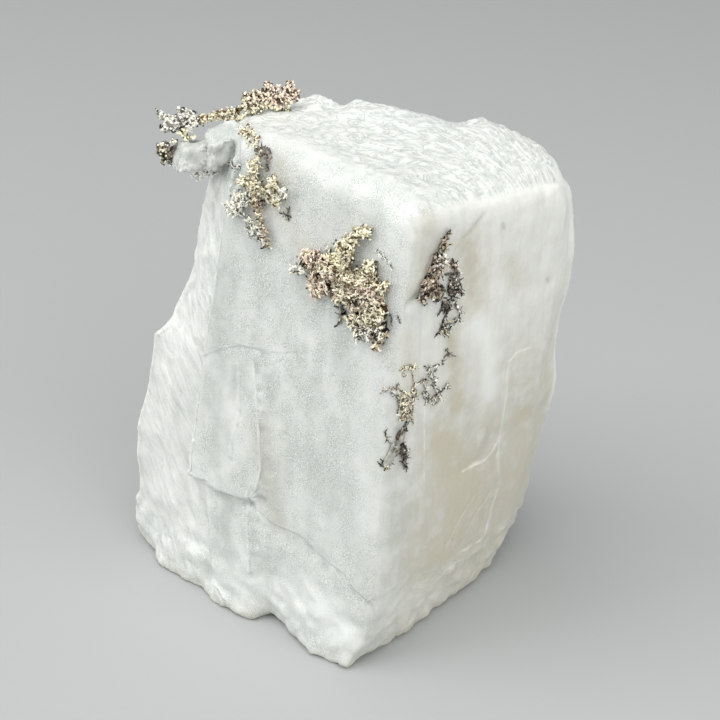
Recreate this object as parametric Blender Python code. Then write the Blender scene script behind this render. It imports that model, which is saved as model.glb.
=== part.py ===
"""A calcite block with small native silver ferns grown on it, as separate named solids.

The block is one solid: its outline is drawn as a set of edge lines that run from the foot to the
rim of the top face, and rings through those lines are bridged into a body. A raised cleavage
plate and the small calcite rhombs on its top left corner are joined to it. Each silver fern is a
solid of its own: cubes strung along short routes on the block's faces and fused.
Lengths are in millimetres, turned into metres where a mesh is made. The front faces -Y.
"""

import math
import random

import bmesh
import bpy
import numpy as np
from mathutils import Euler, Matrix, Vector, noise
from mathutils.bvhtree import BVHTree

MM = 0.001

# How the block's surface is cut into rings and steps
RING_COUNT = 27
FOOT_INSET = 0.5
FOOT_HEIGHT = 0.6
TOP_RELIEF = 0.25
TOP_DOME = 0.5
TOP_DOME_REACH = 3.0
GRID_START = 3
GRID_SIDE = 17

# Relief: the size of the lumps and how much rougher the broken foot is
LUMP_SIZE = 4.5
FOOT_ROUGH_HEIGHT = 13.0
FOOT_ROUGHNESS = 0.35

# The front left cleavage face, as a plane: y at x = 0 and z = 0, and its slopes along x and z
FRONT_FACE_Y = -16.1
FRONT_FACE_SLOPE_X = -0.767
FRONT_FACE_SLOPE_Z = 0.1375

# Edge lines of the block. Each has its name, the steps to the next line, its roughness, and its
# points (z, x, y) from the foot to the rim. They go round anticlockwise, seen from above.
EDGE_LINES = (
    ("left silhouette", 4, 0.35, (
        (0, -24.5, 6.1), (4, -24.9, 5.8), (10.5, -24.1, 5.2), (18, -23.6, 5), (22, -22.2, 5),
        (30.2, -20.8, 5), (32, -18.7, 5), (38.5, -16.3, 5), (46, -14.5, 5), (50, -13.5, 5),
        (55.6, -10.3, 5.3))),
    ("left middle", 3, 0.35, (
        (0, -21.6, 0.0), (6, -20.7, 0.9), (15, -19.9, 1.5), (28, -18.4, 2), (31, -17.4, 2.2),
        (38, -15.1, 2), (46, -13.2, 2), (56.5, -9.9, 2.2))),
    ("left front", 3, 0.3, (
        (0, -17.7, -2.8), (8, -17.6, -1.4), (15, -17.2, -0.6), (30, -16.0, 0.4), (38, -14.3, 0.6),
        (46, -12.5, 0.6), (57.2, -9.6, 0.4))),
    ("front left edge", 5, 0.12, (
        (0, -14.7, -6.5), (3, -15, -4.8), (8, -15.1, -3.6), (14, -15.1, -2.7), (22, -15, -1.9),
        (32, -14.3, -1.1), (37, -13.5, -0.9), (43, -12.3, -0.9), (53, -10.7, -0.9),
        (57.5, -9.1, -1.3))),
    ("front lobe", 4, 0.12, (
        (0, -10.4, -9.2), (5, -10.3, -8.2), (12, -10, -7.0), (20, -9.4, -6.2), (57.6, -4.6, -4.4))),
    ("foot notch", 4, 0.12, (
        (0, -8.0, -8.3), (4, -7.8, -8.7), (10, -7.7, -8.8), (20, -6.5, -8.4), (57.2, -0.2, -8.2))),
    ("front foot", 4, 0.12, (
        (0, -3.6, -14.9), (4, -4.0, -13.3), (10, -3.8, -11.9), (20, -2.5, -11.5), (56.7, 4.2, -11.4))),
    ("front edge", 2, 0.08, (
        (0, 0.6, -17), (4.5, 2.3, -17), (10.5, 4.1, -17.3), (18.5, 4.9, -16.8),
        (27, 4.9, -16.2), (35.5, 5.2, -15.8), (43.5, 6.2, -15.6), (53.2, 6.6, -15.3),
        (55.9, 7.8, -14.8))),
    ("front bevel", 4, 0.1, (
        (0, 2.2, -16), (10.5, 5.2, -16.4), (18.5, 5.9, -15.9), (27, 6, -15.1),
        (35.5, 6.3, -14.5), (43.5, 7.2, -14.1), (49, 9, -12.6), (54.9, 11.2, -12))),
    ("right ridge", 4, 0.12, (
        (0, 13.8, -4.4), (5.7, 16.1, -3.6), (18, 17.2, -4.4), (33, 16.4, -6.2),
        (42, 15.6, -7), (54, 14.4, -8.7))),
    ("right middle", 4, 0.12, (
        (0, 17.9, 1.1), (4, 19, 0.2), (16, 21, -0.3), (33, 22.2, -1), (40, 22.6, -1.2),
        (48, 23.1, -2), (53.3, 22.6, -2.5))),
    ("right silhouette", 4, 0.2, (
        (0, 19.3, 6.4), (3, 20.8, 6), (6, 21.6, 5.5), (9.5, 22.4, 5), (14, 22.8, 4),
        (19.5, 23.6, 4), (25, 24.6, 4), (29, 24.1, 4), (34, 24.3, 4), (36.5, 25.1, 4),
        (43, 25.1, 3.2), (47, 24.6, 2.4), (50.5, 23.8, 1.4), (53.9, 21.8, 2.4))),
    ("back right", 4, 0.4, (
        (0, 16.5, 13), (5, 18, 13.5), (12, 19.5, 13.5), (25, 21, 12), (40, 21, 10), (50, 19.6, 8.6),
        (54.6, 17.2, 7.2))),
    ("back peak", 2, 0.4, (
        (0, 10.2, 16.3), (5, 11.5, 16.9), (15, 13, 16.6), (30, 14.5, 14.5), (45, 14.6, 11.5),
        (54.8, 15.1, 9.2))),
    ("back dip", 4, 0.4, (
        (0, 7.6, 16.6), (5, 8.8, 17), (20, 10.2, 16.3), (35, 11.4, 13.6), (54, 12.9, 8.6))),
    ("back middle", 2, 0.4, (
        (0, 2, 17), (6, 3, 17.4), (20, 4, 16.8), (35, 5, 14.3), (48, 5, 11.5), (56, 5.2, 9.2))),
    ("rear knob", 1, 0.4, (
        (0, -0.8, 16.9), (6, 0.1, 17.3), (20, 0.9, 16.7), (35, 1.9, 14.2), (56.8, 1.7, 9.2))),
    ("rear dip", 2, 0.4, (
        (0, -2.2, 16.8), (6, -1.4, 17.2), (20, -0.6, 16.6), (35, 0.4, 14.2), (56.2, 0.5, 8.9))),
    ("rear peak", 4, 0.4, (
        (0, -7, 16.8), (6, -6, 17.2), (20, -5, 16.6), (35, -4, 14), (48, -3, 11.8),
        (57.1, -1.8, 9.8))),
    ("back left", 4, 0.4, (
        (0, -17, 15.3), (6, -17.4, 15.1), (20, -15.5, 14.5), (31, -13.5, 13), (40, -11, 12),
        (50, -8.5, 10.5), (56.6, -6.3, 8.7))),
    ("left rear", 4, 0.4, (
        (0, -22.6, 11.3), (5, -23.1, 11), (15, -21.8, 10.8), (25, -19.8, 10.2), (31, -17.6, 9.8),
        (40, -14, 9.2), (50, -11.4, 8.6), (56.1, -9.4, 7.2))),
)

# The raised cleavage plate on the front left face: its outline as (x, z), its thickness at the
# foot and at the top, and how deep it is sunk into the block
PLATE_OUTLINE = (
    (-14.2, 32.4), (-15.1, 27), (-15.9, 22), (-16.9, 15.2), (-15.2, 15.4), (-12.9, 15.3),
    (-9.3, 15.9), (-8.5, 17.4), (-8.3, 24), (-8.7, 34), (-9.9, 34.7), (-12.5, 33.2))
PLATE_FOOT_HEIGHT = 15.3
PLATE_TOP_HEIGHT = 34.7
PLATE_FOOT_THICKNESS = 1.0
PLATE_TOP_THICKNESS = 0.15
PLATE_LEFT_X = -16.9
PLATE_RIGHT_X = -8.3
PLATE_RIGHT_SHARE = 0.4
PLATE_SINK = 1.6

# The small calcite rhombs: centre, edge lengths, turns in degrees
RHOMBS = (
    ((-11.8, 2.4, 54.7), (3.3, 3.0, 2.9), (14, -12, 24)),
    ((-15.2, 2.8, 53.1), (2.9, 3.0, 2.8), (-8, 10, 38)),
    ((-13.4, 3.0, 53.4), (2.4, 2.6, 1.9), (4, 18, 12)),
)
RHOMB_SHEAR = 0.26

# The silver: its twigs are strings of boxes with a knot at each joint
SILVER_GAP = 0.3
TWIG_STEP = 1.3
TWIG_OVERLAP = 0.25
KNOT_SCALE = 1.25
CAST_START_Y = -60.0
LIFT_SHARE = 0.75
EDGE_LIFT_SHARE = 0.95
FUSE_VOXEL = 0.16
FACET_RATIO = 0.06

# Ferns on the front faces: twig width, and routes of (x, z), which are laid on the face. A twig is
# lifted off the face by the gap and by this share of its width
FACE_FERNS = {
    "silver_strand_left": (0.6, (
        ((-8.6, 57.2), (-8.1, 57.0), (-7.3, 56.7), (-6.7, 55.9)),
        ((-7.3, 56.7), (-8.3, 55.0), (-8.2, 53.7), (-8.0, 52.3), (-7.9, 50.8), (-7.7, 49.7),
         (-7.2, 47.1)),
        ((-8.2, 53.5), (-9.6, 52.8)),
        ((-8.0, 52.2), (-10.1, 51.2)),
        ((-7.9, 51.1), (-9.6, 50.4), (-10.9, 49.6)),
        ((-9.7, 50.3), (-10.6, 49.2)),
        ((-8.0, 52.5), (-6.6, 52.8), (-5.1, 53.4)),
        ((-6.6, 52.9), (-6.3, 54.2)),
        ((-6.4, 52.9), (-5.9, 51.9)),
        ((-9.0, 49.3), (-8.4, 48.4), (-7.3, 47.4)))),
    "silver_twig_small": (0.4, (
        ((-5.5, 50.9), (-4.8, 51.0), (-4.6, 51.8)),
        ((-4.8, 51.0), (-4.7, 50.6)))),
    "silver_fern_centre": (0.7, (
        ((-4.1, 46.0), (-2.9, 46.3), (-1.7, 47.0), (-0.3, 47.2), (0.9, 48.3), (0.9, 49.7), (1.7, 51.4),
         (2.7, 52.4)),
        ((-2.9, 47.7), (-1.5, 48.0), (-0.6, 47.3)),
        ((-1.9, 44.3), (-2.4, 45.4), (-1.5, 46.6), (0.1, 46.6), (1.5, 46.9), (2.8, 47.0), (4.3, 47.7)),
        ((0.1, 46.6), (0.5, 45.2), (2.1, 45.5), (3.8, 46.3), (3.2, 45.1)),
        ((3.2, 49.3), (3.0, 47.3)),
        ((1.7, 44.3), (3.1, 45.1), (4.2, 45.1), (4.2, 43.6)),
        ((3.0, 45.0), (3.0, 43.5), (3.4, 42.4), (4.4, 42.7)),
        ((3.4, 42.4), (3.9, 41.4)),
        ((1.8, 43.1), (3.0, 43.5)),
        ((2.1, 41.9), (3.3, 42.3)),
        ((-1.6, 46.4), (-1.0, 45.1), (-0.1, 43.8), (0.3, 42.2)),
        ((0.1, 43.6), (1.7, 44.3)))),
    "silver_sliver": (0.4, (
        ((4.0, 51.0), (4.7, 50.6), (5.3, 50.1)),)),
    "silver_fleck": (0.4, (
        ((5.2, 45.1), (5.2, 44.3)),)),
    "silver_spike_inner": (0.6, (
        ((10.6, 52.8), (10.1, 51.3), (9.5, 49.9), (8.9, 48.4), (8.3, 47.3), (8.1, 46.2)),
        ((10.1, 51.3), (10.3, 49.6), (9.7, 48.5), (9.1, 47.4), (8.7, 46.3)),
        ((9.0, 46.8), (9.7, 46.5), (9.4, 45.6)))),
    "silver_spike_outer": (0.6, (
        ((11.2, 48.9), (11.2, 47.8), (11.7, 45.8), (11.3, 44.4), (10.9, 43.7), (10.4, 42.4),
         (10.2, 41.5), (9.7, 41.5)),
        ((11.6, 46.1), (10.9, 46.1), (10.9, 45.1), (11.3, 44.4)),
        ((11.2, 44.3), (10.4, 44.8), (10.0, 43.7)),
        ((11.2, 44.4), (11.9, 43.3)),
        ((10.2, 41.5), (10.7, 40.8), (11.8, 41.7)))),
    "silver_spray": (0.5, (
        ((6.3, 39.3), (7.4, 38.6), (7.8, 38.1)),
        ((7.4, 38.6), (7.5, 36.5), (7.2, 35.3), (6.5, 34.3), (6.2, 33.7)),
        ((4.7, 36.9), (5.8, 37.2), (7.2, 35.4)),
        ((7.2, 35.3), (7.5, 34.0), (7.5, 33.3)))),
    "silver_spray_right": (0.5, (
        ((8.4, 36.3), (9.4, 35.7), (9.6, 36.3)),
        ((9.4, 35.7), (8.8, 34.4), (9.5, 33.4), (10.1, 34.0), (11.1, 34.2)))),
    "silver_sprig": (0.4, (
        ((10.8, 38.7), (11.2, 38.2), (11.7, 37.5)),
        ((11.2, 38.2), (10.6, 37.6)))),
    "silver_foot": (0.6, (
        ((6.7, 32.3), (6.5, 31.5), (6.2, 30.5), (5.7, 29.4), (4.9, 28.1)),
        ((4.8, 32.3), (5.2, 30.9), (5.8, 29.6)),
        ((6.2, 30.5), (6.6, 29.5), (6.5, 28.6), (6.8, 27.2)))),
}

# Ferns that stand off the top left corner: twig width, and routes of (x, y, z)
FREE_FERNS = {
    "silver_fern_top": (0.75, (
        ((-15.4, 4.2, 55.5), (-15.7, 4.0, 56.1), (-15.9, 4.0, 57.6)),
        ((-15.7, 4.0, 56.0), (-17.0, 4.0, 56.6), (-18.0, 4.0, 57.1)),
        ((-15.7, 4.0, 55.8), (-17.7, 4.0, 55.6)),
        ((-15.8, 4.0, 56.5), (-14.9, 4.0, 57.2)),
        ((-15.6, 4.0, 56.1), (-14.5, 3.9, 56.3)))),
    "silver_fern_side": (0.75, (
        ((-17.7, 3.2, 54.0), (-18.1, 3.4, 53.2), (-17.9, 3.4, 52.2)),
        ((-18.1, 3.4, 53.2), (-18.3, 3.4, 53.8)))),
    "silver_nub": (0.6, (
        ((-14.4, 4.3, 50.0), (-15.1, 4.2, 50.1)),
        ((-14.7, 4.2, 50.0), (-14.7, 4.2, 50.4)))),
    "silver_fern_back": (0.75, (
        ((-14.0, 5.7, 56.0), (-12.9, 5.7, 56.3), (-11.6, 5.8, 56.6), (-10.4, 6.0, 56.7), (-9.3, 6.2, 57.2),
         (-7.8, 6.5, 57.7), (-6.1, 6.6, 57.8), (-4.5, 6.8, 57.8)),
        ((-9.3, 6.2, 57.2), (-9.5, 6.5, 58.0)),
        ((-8.5, 6.4, 57.5), (-8.5, 6.7, 58.3)),
        ((-7.3, 6.5, 57.7), (-7.1, 6.8, 59.2)),
        ((-5.8, 6.6, 57.8), (-5.0, 7.0, 59.2)),
        ((-5.4, 6.8, 58.2), (-4.4, 6.9, 58.3)))),
}


def front_face_y(x, z):
    """The depth of the front left cleavage face at a place on it."""
    return FRONT_FACE_Y + FRONT_FACE_SLOPE_X * x + FRONT_FACE_SLOPE_Z * z


def new_material(name, colour, roughness, metallic):
    """A Principled material with a plain colour, written as linear RGB."""
    material = bpy.data.materials.new(name)
    material.use_nodes = True
    shader = material.node_tree.nodes["Principled BSDF"]
    shader.inputs["Base Color"].default_value = (*colour, 1.0)
    shader.inputs["Roughness"].default_value = roughness
    shader.inputs["Metallic"].default_value = metallic
    material.diffuse_color = (*colour, 1.0)
    return material


def new_object(name, bm, material):
    """Turns a bmesh drawn in millimetres into an object in metres."""
    bmesh.ops.scale(bm, vec=(MM, MM, MM), verts=bm.verts)
    bmesh.ops.recalc_face_normals(bm, faces=bm.faces)
    mesh = bpy.data.meshes.new(name)
    bm.to_mesh(mesh)
    bm.free()
    mesh.materials.append(material)
    thing = bpy.data.objects.new(name, mesh)
    bpy.context.collection.objects.link(thing)
    return thing


def hide_helper(thing):
    """Marks a solid that is only joined to another one, so that it is no piece of its own."""
    thing.hide_render = True
    thing.display_type = "WIRE"


def add_boolean(thing, other, operation):
    """Adds an exact Boolean modifier."""
    modifier = thing.modifiers.new(other.name, "BOOLEAN")
    modifier.operation = operation
    modifier.solver = "EXACT"
    modifier.object = other


def line_point(points, share):
    """A place on an edge line, at a share of its height."""
    heights, xs, ys = np.array(points, dtype=float).T
    z = share * heights[-1]
    return Vector((np.interp(z, heights, xs), np.interp(z, heights, ys), z))


def outline_ring(share):
    """One ring round the block, and the roughness at each of its points."""
    corners = [line_point(points, share) for _, _, _, points in EDGE_LINES]
    ring = []
    roughness = []
    for index, (_, steps, rough, _) in enumerate(EDGE_LINES):
        following = (index + 1) % len(EDGE_LINES)
        next_rough = EDGE_LINES[following][2]
        for step in range(steps):
            ring.append(corners[index].lerp(corners[following], step / steps))
            roughness.append(rough + (next_rough - rough) * step / steps)
    return ring, roughness


def outward_directions(ring):
    """The level outward direction at each point of an anticlockwise ring."""
    count = len(ring)
    directions = []
    for index in range(count):
        along = ring[(index + 1) % count] - ring[index - 1]
        directions.append(Vector((along.y, -along.x, 0)).normalized())
    return directions


def rough_ring(share):
    """A ring with the lumps of the broken surface on it."""
    ring, roughness = outline_ring(share)
    result = []
    for point, rough, outward in zip(ring, roughness, outward_directions(ring)):
        foot = max(0.0, 1 - point.z / FOOT_ROUGH_HEIGHT)
        lump = noise.fractal(point / LUMP_SIZE, 1.0, 2.0, 3)
        result.append(point + outward * lump * (rough + FOOT_ROUGHNESS * foot))
    return result


def foot_ring(ring):
    """The outline on the ground, drawn in a little from the ring above it."""
    return [Vector((p.x, p.y, 0)) - way * FOOT_INSET for p, way in zip(ring, outward_directions(ring))]


def draw_ring(bm, ring):
    """Adds a closed ring of edges to a bmesh."""
    verts = [bm.verts.new(point) for point in ring]
    return [bm.edges.new((verts[index - 1], verts[index])) for index in range(len(verts))]


def cap_top(bm, rim_edges):
    """Fills the rim with a grid of faces and gives it the top's gentle, uneven dome."""
    start = sum(steps for _, steps, _, _ in EDGE_LINES[:GRID_START])
    turned = rim_edges[start:] + rim_edges[:start]
    long_side = len(turned) // 2 - GRID_SIDE
    sides = turned[1:GRID_SIDE + 1]
    sides += turned[GRID_SIDE + long_side + 1:2 * GRID_SIDE + long_side + 1]
    rim = {vert for edge in rim_edges for vert in edge.verts}
    faces = bmesh.ops.grid_fill(bm, edges=sides, use_interp_simple=True)["faces"]
    inner = {vert for face in faces for vert in face.verts} - rim
    for vert in inner:
        gap = min((vert.co - other.co).length for other in rim)
        lump = noise.fractal(vert.co / LUMP_SIZE, 1.0, 2.0, 3)
        vert.co.z += TOP_RELIEF * lump + TOP_DOME * (1 - math.exp(-gap / TOP_DOME_REACH))


def block_bmesh():
    """The block's body: bridged rings, a flat underside and a closed top."""
    bm = bmesh.new()
    lowest = FOOT_HEIGHT / EDGE_LINES[0][3][-1][0]
    shares = np.linspace(lowest, 1.0, RING_COUNT)
    rings = [rough_ring(share) for share in shares]
    rings.insert(0, foot_ring(rings[0]))
    loops = [draw_ring(bm, ring) for ring in rings]
    for lower, upper in zip(loops, loops[1:]):
        bmesh.ops.bridge_loops(bm, edges=lower + upper)
    bmesh.ops.contextual_create(bm, geom=loops[0])
    cap_top(bm, loops[-1])
    return bm


def plate_bmesh():
    """The cleavage plate: its outline sunk in the face, extruded out, thicker at its foot."""
    bm = bmesh.new()
    inward = Vector((-FRONT_FACE_SLOPE_X, 1, -FRONT_FACE_SLOPE_Z)).normalized()
    verts = [bm.verts.new((x, front_face_y(x, z), z)) for x, z in PLATE_OUTLINE]
    outer = bm.faces.new(verts)
    grown = bmesh.ops.extrude_face_region(bm, geom=[outer])["geom"]
    for vert in grown:
        if isinstance(vert, bmesh.types.BMVert):
            vert.co += inward * PLATE_SINK
    heights = (PLATE_FOOT_HEIGHT, PLATE_TOP_HEIGHT)
    for vert in verts:
        thickness = np.interp(vert.co.z, heights, (PLATE_FOOT_THICKNESS, PLATE_TOP_THICKNESS))
        thickness *= np.interp(vert.co.x, (PLATE_LEFT_X, PLATE_RIGHT_X), (1, PLATE_RIGHT_SHARE))
        vert.co -= inward * thickness
    return bm


def rhomb_bmesh(centre, edges, turns):
    """A small calcite rhomb: a cube, sheared and turned."""
    bm = bmesh.new()
    bmesh.ops.create_cube(bm, size=1)
    shear = Matrix.Identity(4)
    shear[0][1] = RHOMB_SHEAR
    shear[0][2] = RHOMB_SHEAR
    turn = Euler([math.radians(angle) for angle in turns]).to_matrix().to_4x4()
    size = Matrix.Diagonal((*edges, 1))
    bmesh.ops.transform(bm, matrix=Matrix.Translation(centre) @ turn @ shear @ size, verts=bm.verts)
    return bm


def build_block(material):
    """The calcite block with its plate and small rhombs joined to it."""
    block = new_object("calcite_block", block_bmesh(), material)
    additions = [new_object("plate_shape", plate_bmesh(), material)]
    for number, (centre, edges, turns) in enumerate(RHOMBS, start=1):
        additions.append(new_object(f"rhomb_shape_{number}", rhomb_bmesh(centre, edges, turns), material))
    for shape in additions:
        hide_helper(shape)
        add_boolean(block, shape, "UNION")
    return block


def face_finder(block):
    """A search tree of the finished block's faces, in metres."""
    depsgraph = bpy.context.evaluated_depsgraph_get()
    return BVHTree.FromObject(block, depsgraph)


def laid_point(tree, x, z, lift):
    """The place at (x, z) in front of the block's face that is lifted off it, in millimetres."""
    start = Vector((x, CAST_START_Y, z)) * MM
    hit, normal, _, _ = tree.ray_cast(start, Vector((0, 1, 0)))
    if hit is None:
        raise ValueError(f"no calcite behind {x}, {z}")
    return Vector((x, hit.y / MM + lift / normal.y, z))


def lay_route(tree, route, width):
    """Lays a route of (x, z) on the face, with a lifted point wherever it crosses an edge."""
    lift = SILVER_GAP + width * LIFT_SHARE
    flat = short_steps([Vector((x, 0, z)) for x, z in route])
    places = [laid_point(tree, point.x, point.z, lift) for point in flat]
    laid = [places[0]]
    for place in places[1:]:
        middle = (laid[-1] + place) / 2
        nearest, _, _, distance = tree.find_nearest(middle * MM)
        if distance < EDGE_LIFT_SHARE * lift * MM:
            laid.append(nearest / MM + (middle - nearest / MM).normalized() * lift)
        laid.append(place)
    return laid


def short_steps(route):
    """The corner points of a route with more points between them, no further than a step apart."""
    points = [route[0]]
    for start, end in zip(route, route[1:]):
        count = math.ceil((end - start).length / TWIG_STEP)
        points += [start.lerp(end, number / count) for number in range(1, count + 1)]
    return points


def add_box(bm, centre, size, turn):
    """Adds one turned box to a bmesh."""
    matrix = Matrix.Translation(centre) @ turn.to_matrix().to_4x4() @ Matrix.Diagonal((*size, 1))
    bmesh.ops.create_cube(bm, size=1, matrix=matrix)


def add_twig(bm, points, width, rng):
    """Strings boxes between the points of one twig, with a knot at each point."""
    for start, end in zip(points, points[1:]):
        along = end - start
        roll = Euler((0, 0, rng.uniform(0, math.pi))).to_quaternion()
        turn = along.to_track_quat("Z", "Y") @ roll
        add_box(bm, (start + end) / 2, (width, width, along.length + TWIG_OVERLAP), turn)
    for point in points:
        turn = Euler([rng.uniform(0, math.pi) for _ in range(3)]).to_quaternion()
        edge = width * KNOT_SCALE * rng.uniform(0.85, 1.0)
        add_box(bm, point, (edge, edge, edge), turn)


def build_fern(name, width, routes, material):
    """One silver fern: every twig's boxes, fused by a remesh and thinned out to flat facets."""
    rng = random.Random(name)
    bm = bmesh.new()
    for points in routes:
        add_twig(bm, points, width, rng)
    fern = new_object(name, bm, material)
    fuse = fern.modifiers.new("fuse", "REMESH")
    fuse.mode = "VOXEL"
    fuse.voxel_size = FUSE_VOXEL * MM
    facet = fern.modifiers.new("facet", "DECIMATE")
    facet.ratio = FACET_RATIO


def build_silver(block, material):
    """Every silver fern, on the front faces and on the top left corner."""
    tree = face_finder(block)
    for name, (width, routes) in FACE_FERNS.items():
        laid = [lay_route(tree, route, width) for route in routes]
        build_fern(name, width, laid, material)
    for name, (width, routes) in FREE_FERNS.items():
        free = [short_steps([Vector(point) for point in route]) for route in routes]
        build_fern(name, width, free, material)


def main():
    """Clears the scene and builds every piece."""
    for thing in list(bpy.data.objects):
        bpy.data.objects.remove(thing, do_unlink=True)
    calcite = new_material("calcite", (0.85, 0.86, 0.83), 0.35, 0.0)
    silver = new_material("tarnished silver", (0.52, 0.42, 0.28), 0.3, 1.0)
    block = build_block(calcite)
    build_silver(block, silver)


main()
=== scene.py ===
"""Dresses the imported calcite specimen: frosted white calcite with native silver grown on it.

The calcite block's solid is remeshed finely and given its ripples, striations, ledges and cracks.
Each silver solid is replaced by a fern of small faceted crystals, grown along routes that are
drawn as the camera sees them and laid on the calcite. Lengths are in millimetres in the classes,
and are turned into metres where a mesh is made. The front faces -Y.
"""

import logging
import math
import random
from dataclasses import dataclass, field, replace
from enum import Enum

import bmesh
import bpy
import numpy as np
from mathutils import Matrix, Vector, noise
from mathutils.bvhtree import BVHTree


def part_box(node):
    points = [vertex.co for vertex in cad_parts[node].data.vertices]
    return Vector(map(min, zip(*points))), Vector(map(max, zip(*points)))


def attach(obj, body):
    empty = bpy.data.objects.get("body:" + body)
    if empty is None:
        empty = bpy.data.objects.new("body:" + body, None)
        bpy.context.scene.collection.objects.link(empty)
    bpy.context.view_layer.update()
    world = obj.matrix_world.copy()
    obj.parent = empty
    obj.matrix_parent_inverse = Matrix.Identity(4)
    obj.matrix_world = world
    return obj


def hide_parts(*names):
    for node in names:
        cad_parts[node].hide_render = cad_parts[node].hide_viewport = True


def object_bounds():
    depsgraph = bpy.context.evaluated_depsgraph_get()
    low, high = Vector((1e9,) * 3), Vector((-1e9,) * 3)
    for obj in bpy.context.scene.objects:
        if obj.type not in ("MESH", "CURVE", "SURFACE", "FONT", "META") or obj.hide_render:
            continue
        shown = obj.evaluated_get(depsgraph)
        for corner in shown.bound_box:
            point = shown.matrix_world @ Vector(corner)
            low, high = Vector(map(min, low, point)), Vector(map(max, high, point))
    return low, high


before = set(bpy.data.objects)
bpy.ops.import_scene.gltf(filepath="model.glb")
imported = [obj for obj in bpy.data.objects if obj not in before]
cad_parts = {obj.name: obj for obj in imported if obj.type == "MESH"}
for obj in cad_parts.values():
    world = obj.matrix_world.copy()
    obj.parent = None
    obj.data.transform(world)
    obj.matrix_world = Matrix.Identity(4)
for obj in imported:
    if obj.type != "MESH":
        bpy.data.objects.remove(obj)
CAD_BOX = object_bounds()

LOG = logging.getLogger("calcite_specimen")
MM = 0.001
FAR = 1e3  # Past everything, in mm
MERGED = 1e-6  # Points nearer than this are one, in metres
LEAN = (0.42, -0.3, -0.86)  # The way in which the left face's torn striations run
CALCITE_FIELDS = (
    "frost", "warm", "veil", "white", "ripple", "streak", "torn", "hollow", "flow", "along",
)
SPAN_SOCKETS = ("From Min", "From Max", "To Min", "To Max")
MIX_SHARE, MIX_UNDER, MIX_OVER, MIX_RESULT = 0, 6, 7, 2  # A colour mix's sockets, by number

Tree = bpy.types.NodeTree
Socket = bpy.types.NodeSocket
BMesh = bmesh.types.BMesh
Point = tuple[float, float]  # Across and down in the view
Route = tuple[Point, ...]
Flat = tuple[int, ...]  # A route's numbers in one row
Rise = tuple[float, float]  # Where a share leaves 0, and where it is 1
Span = tuple[float, float, float, float]  # Two values, and what is made of each
Laid = tuple[Vector, Vector]  # A point in mm, and the outward direction there


def linear(colour: str) -> tuple[float, float, float, float]:
    """Turns an sRGB hex colour into linear light.

    Args:
        colour: Six hex digits after a hash sign.

    Returns:
        Linear red, green and blue, and an alpha of one.
    """
    parts = [int(colour[start:start + 2], 16) / 255 for start in (1, 3, 5)]
    light = [part / 12.92 if part <= 0.04045 else ((part + 0.055) / 1.055) ** 2.4 for part in parts]
    return (*light, 1.0)


def add_node(
    tree: Tree, kind: str, values: dict | None = None, links: dict | None = None,
    **settings: object,
) -> bpy.types.Node:
    """Adds a shader node with its settings, input values and incoming links.

    Args:
        tree: The node tree that gets the node.
        kind: The node's type name.
        values: Input values by socket name or number.
        links: Output sockets to join to the inputs, by socket name or number.
        settings: Properties of the node itself.

    Returns:
        The new node.
    """
    node = tree.nodes.new(kind)
    for name, value in settings.items():
        setattr(node, name, value)
    for name, value in (values or {}).items():
        node.inputs[name].default_value = value
    for name, socket in (links or {}).items():
        tree.links.new(socket, node.inputs[name])
    return node


def new_tree(name: str) -> tuple[bpy.types.Material, Tree]:
    """Makes a material with an empty node tree.

    Args:
        name: The material's name.

    Returns:
        The material and its tree.
    """
    material = bpy.data.materials.new(name)
    material.use_nodes = True
    material.node_tree.nodes.clear()
    return material, material.node_tree


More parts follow.
